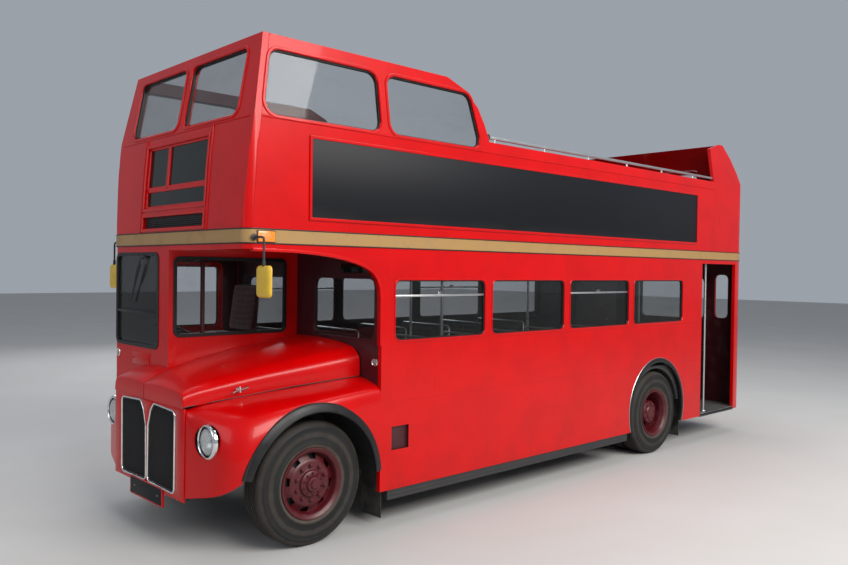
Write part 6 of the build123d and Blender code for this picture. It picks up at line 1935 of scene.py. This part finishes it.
def cowl_panel():
    """The front panel round the grille, cut off level under the bonnet's lip."""
    mesh = merged("cowl")
    with editing(mesh) as work:
        high = [vert for vert in work.verts if vert.co.z > 1.1455]
        bmesh.ops.delete(work, geom=high, context="VERTS")
    mesh = baked(
        mesh, [("BEVEL", {"width": 0.004, "segments": 2, "limit_method": "ANGLE", "angle_limit": radians(30)})],
    )
    piece("cowl.panel", mesh, RED, ["cowl"])


for make in (
    dress_nodes, cowl_panel, window_trims, screen_trims, body_beads, board_frames, blind_box,
    bonnet_and_nose, bonnet_fittings, wings, arch_trims, grille, headlamps, wheels, cab_trims,
    steering_wheel, mirrors, lamps_and_plates, handrails, seats, inside, engine_parts, underneath,
):
    make()


# Floor, lights and camera
ground = Finish("pale floor", Base_Color=(0.5, 0.49, 0.475, 1.0), Roughness=0.8, Specular_IOR_Level=0.2)
tone = ground.span(ground.noise(0.6, 4.0), 0.3, 0.8)
ground.drive(Base_Color=ground.mix(tone, (0.49, 0.48, 0.465, 1.0), (0.52, 0.51, 0.5, 1.0)))
ground.bump(ground.noise(60.0, 3.0), 0.002, 0.2)
floor_mesh = bpy.data.meshes.new("floor")
floor_mesh.from_pydata([(-60, -60, 0), (60, -60, 0), (60, 60, 0), (-60, 60, 0)], [], [(0, 1, 2, 3)])
floor = linked("floor", floor_mesh)
floor_mesh.materials.append(ground.material)

world = bpy.data.worlds.new("studio")
bpy.context.scene.world = world
world.use_nodes = True
sky = world.node_tree.nodes["Background"].inputs
sky["Color"].default_value = (0.78, 0.85, 0.95, 1.0)
sky["Strength"].default_value = 0.42


def soft_light(name, place, target, size, power, colour):
    """A large soft box at a place, facing a target."""
    lamp = bpy.data.lights.new(name, "AREA")
    lamp.shape = "RECTANGLE"
    lamp.size, lamp.size_y = size
    lamp.energy = power
    lamp.color = colour
    holder = linked(name, lamp)
    holder.location = place
    holder.rotation_euler = (Vector(target) - Vector(place)).to_track_quat("-Z", "Y").to_euler()


for light in (
    ("side box", (1.0, 12.0, 9.0), (0.0, 1.2, 1.6), (12.0, 6.0), 2300.0, (1.0, 0.98, 0.94)),
    ("front box", (13.0, 1.0, 6.0), (3.9, 0.0, 1.8), (6.0, 5.0), 210.0, (0.92, 0.95, 1.0)),
    ("top box", (-1.0, -1.0, 13.0), (0.0, 0.0, 2.0), (12.0, 8.0), 700.0, (0.95, 0.98, 1.0)),
    ("far box", (-4.0, -13.0, 7.0), (0.0, -1.2, 1.8), (10.0, 5.0), 500.0, (0.95, 0.97, 1.0)),
):
    soft_light(*light)

CAMERA_PLACE = (7.044, 6.4, 2.255)
YAW, PITCH, ROLL = radians(-133.24), radians(-0.94), radians(0.74)
look = at(cos(YAW) * cos(PITCH), sin(YAW) * cos(PITCH), sin(PITCH))
across = at(sin(YAW), -cos(YAW), 0.0)
upward = across.cross(look)
right = across * cos(ROLL) + upward * sin(ROLL)
up = upward * cos(ROLL) - across * sin(ROLL)
lens_data = bpy.data.cameras.new("photo view")
lens_data.lens = 33.77
lens_data.sensor_width = 36.0
camera = linked("photo view", lens_data)
turn = Matrix((right, up, -look)).transposed()
camera.matrix_world = Matrix.Translation(CAMERA_PLACE) @ turn.to_4x4()
bpy.context.scene.camera = camera
bpy.context.scene.view_settings.view_transform = "Standard"
bpy.context.scene.view_settings.look = "None"
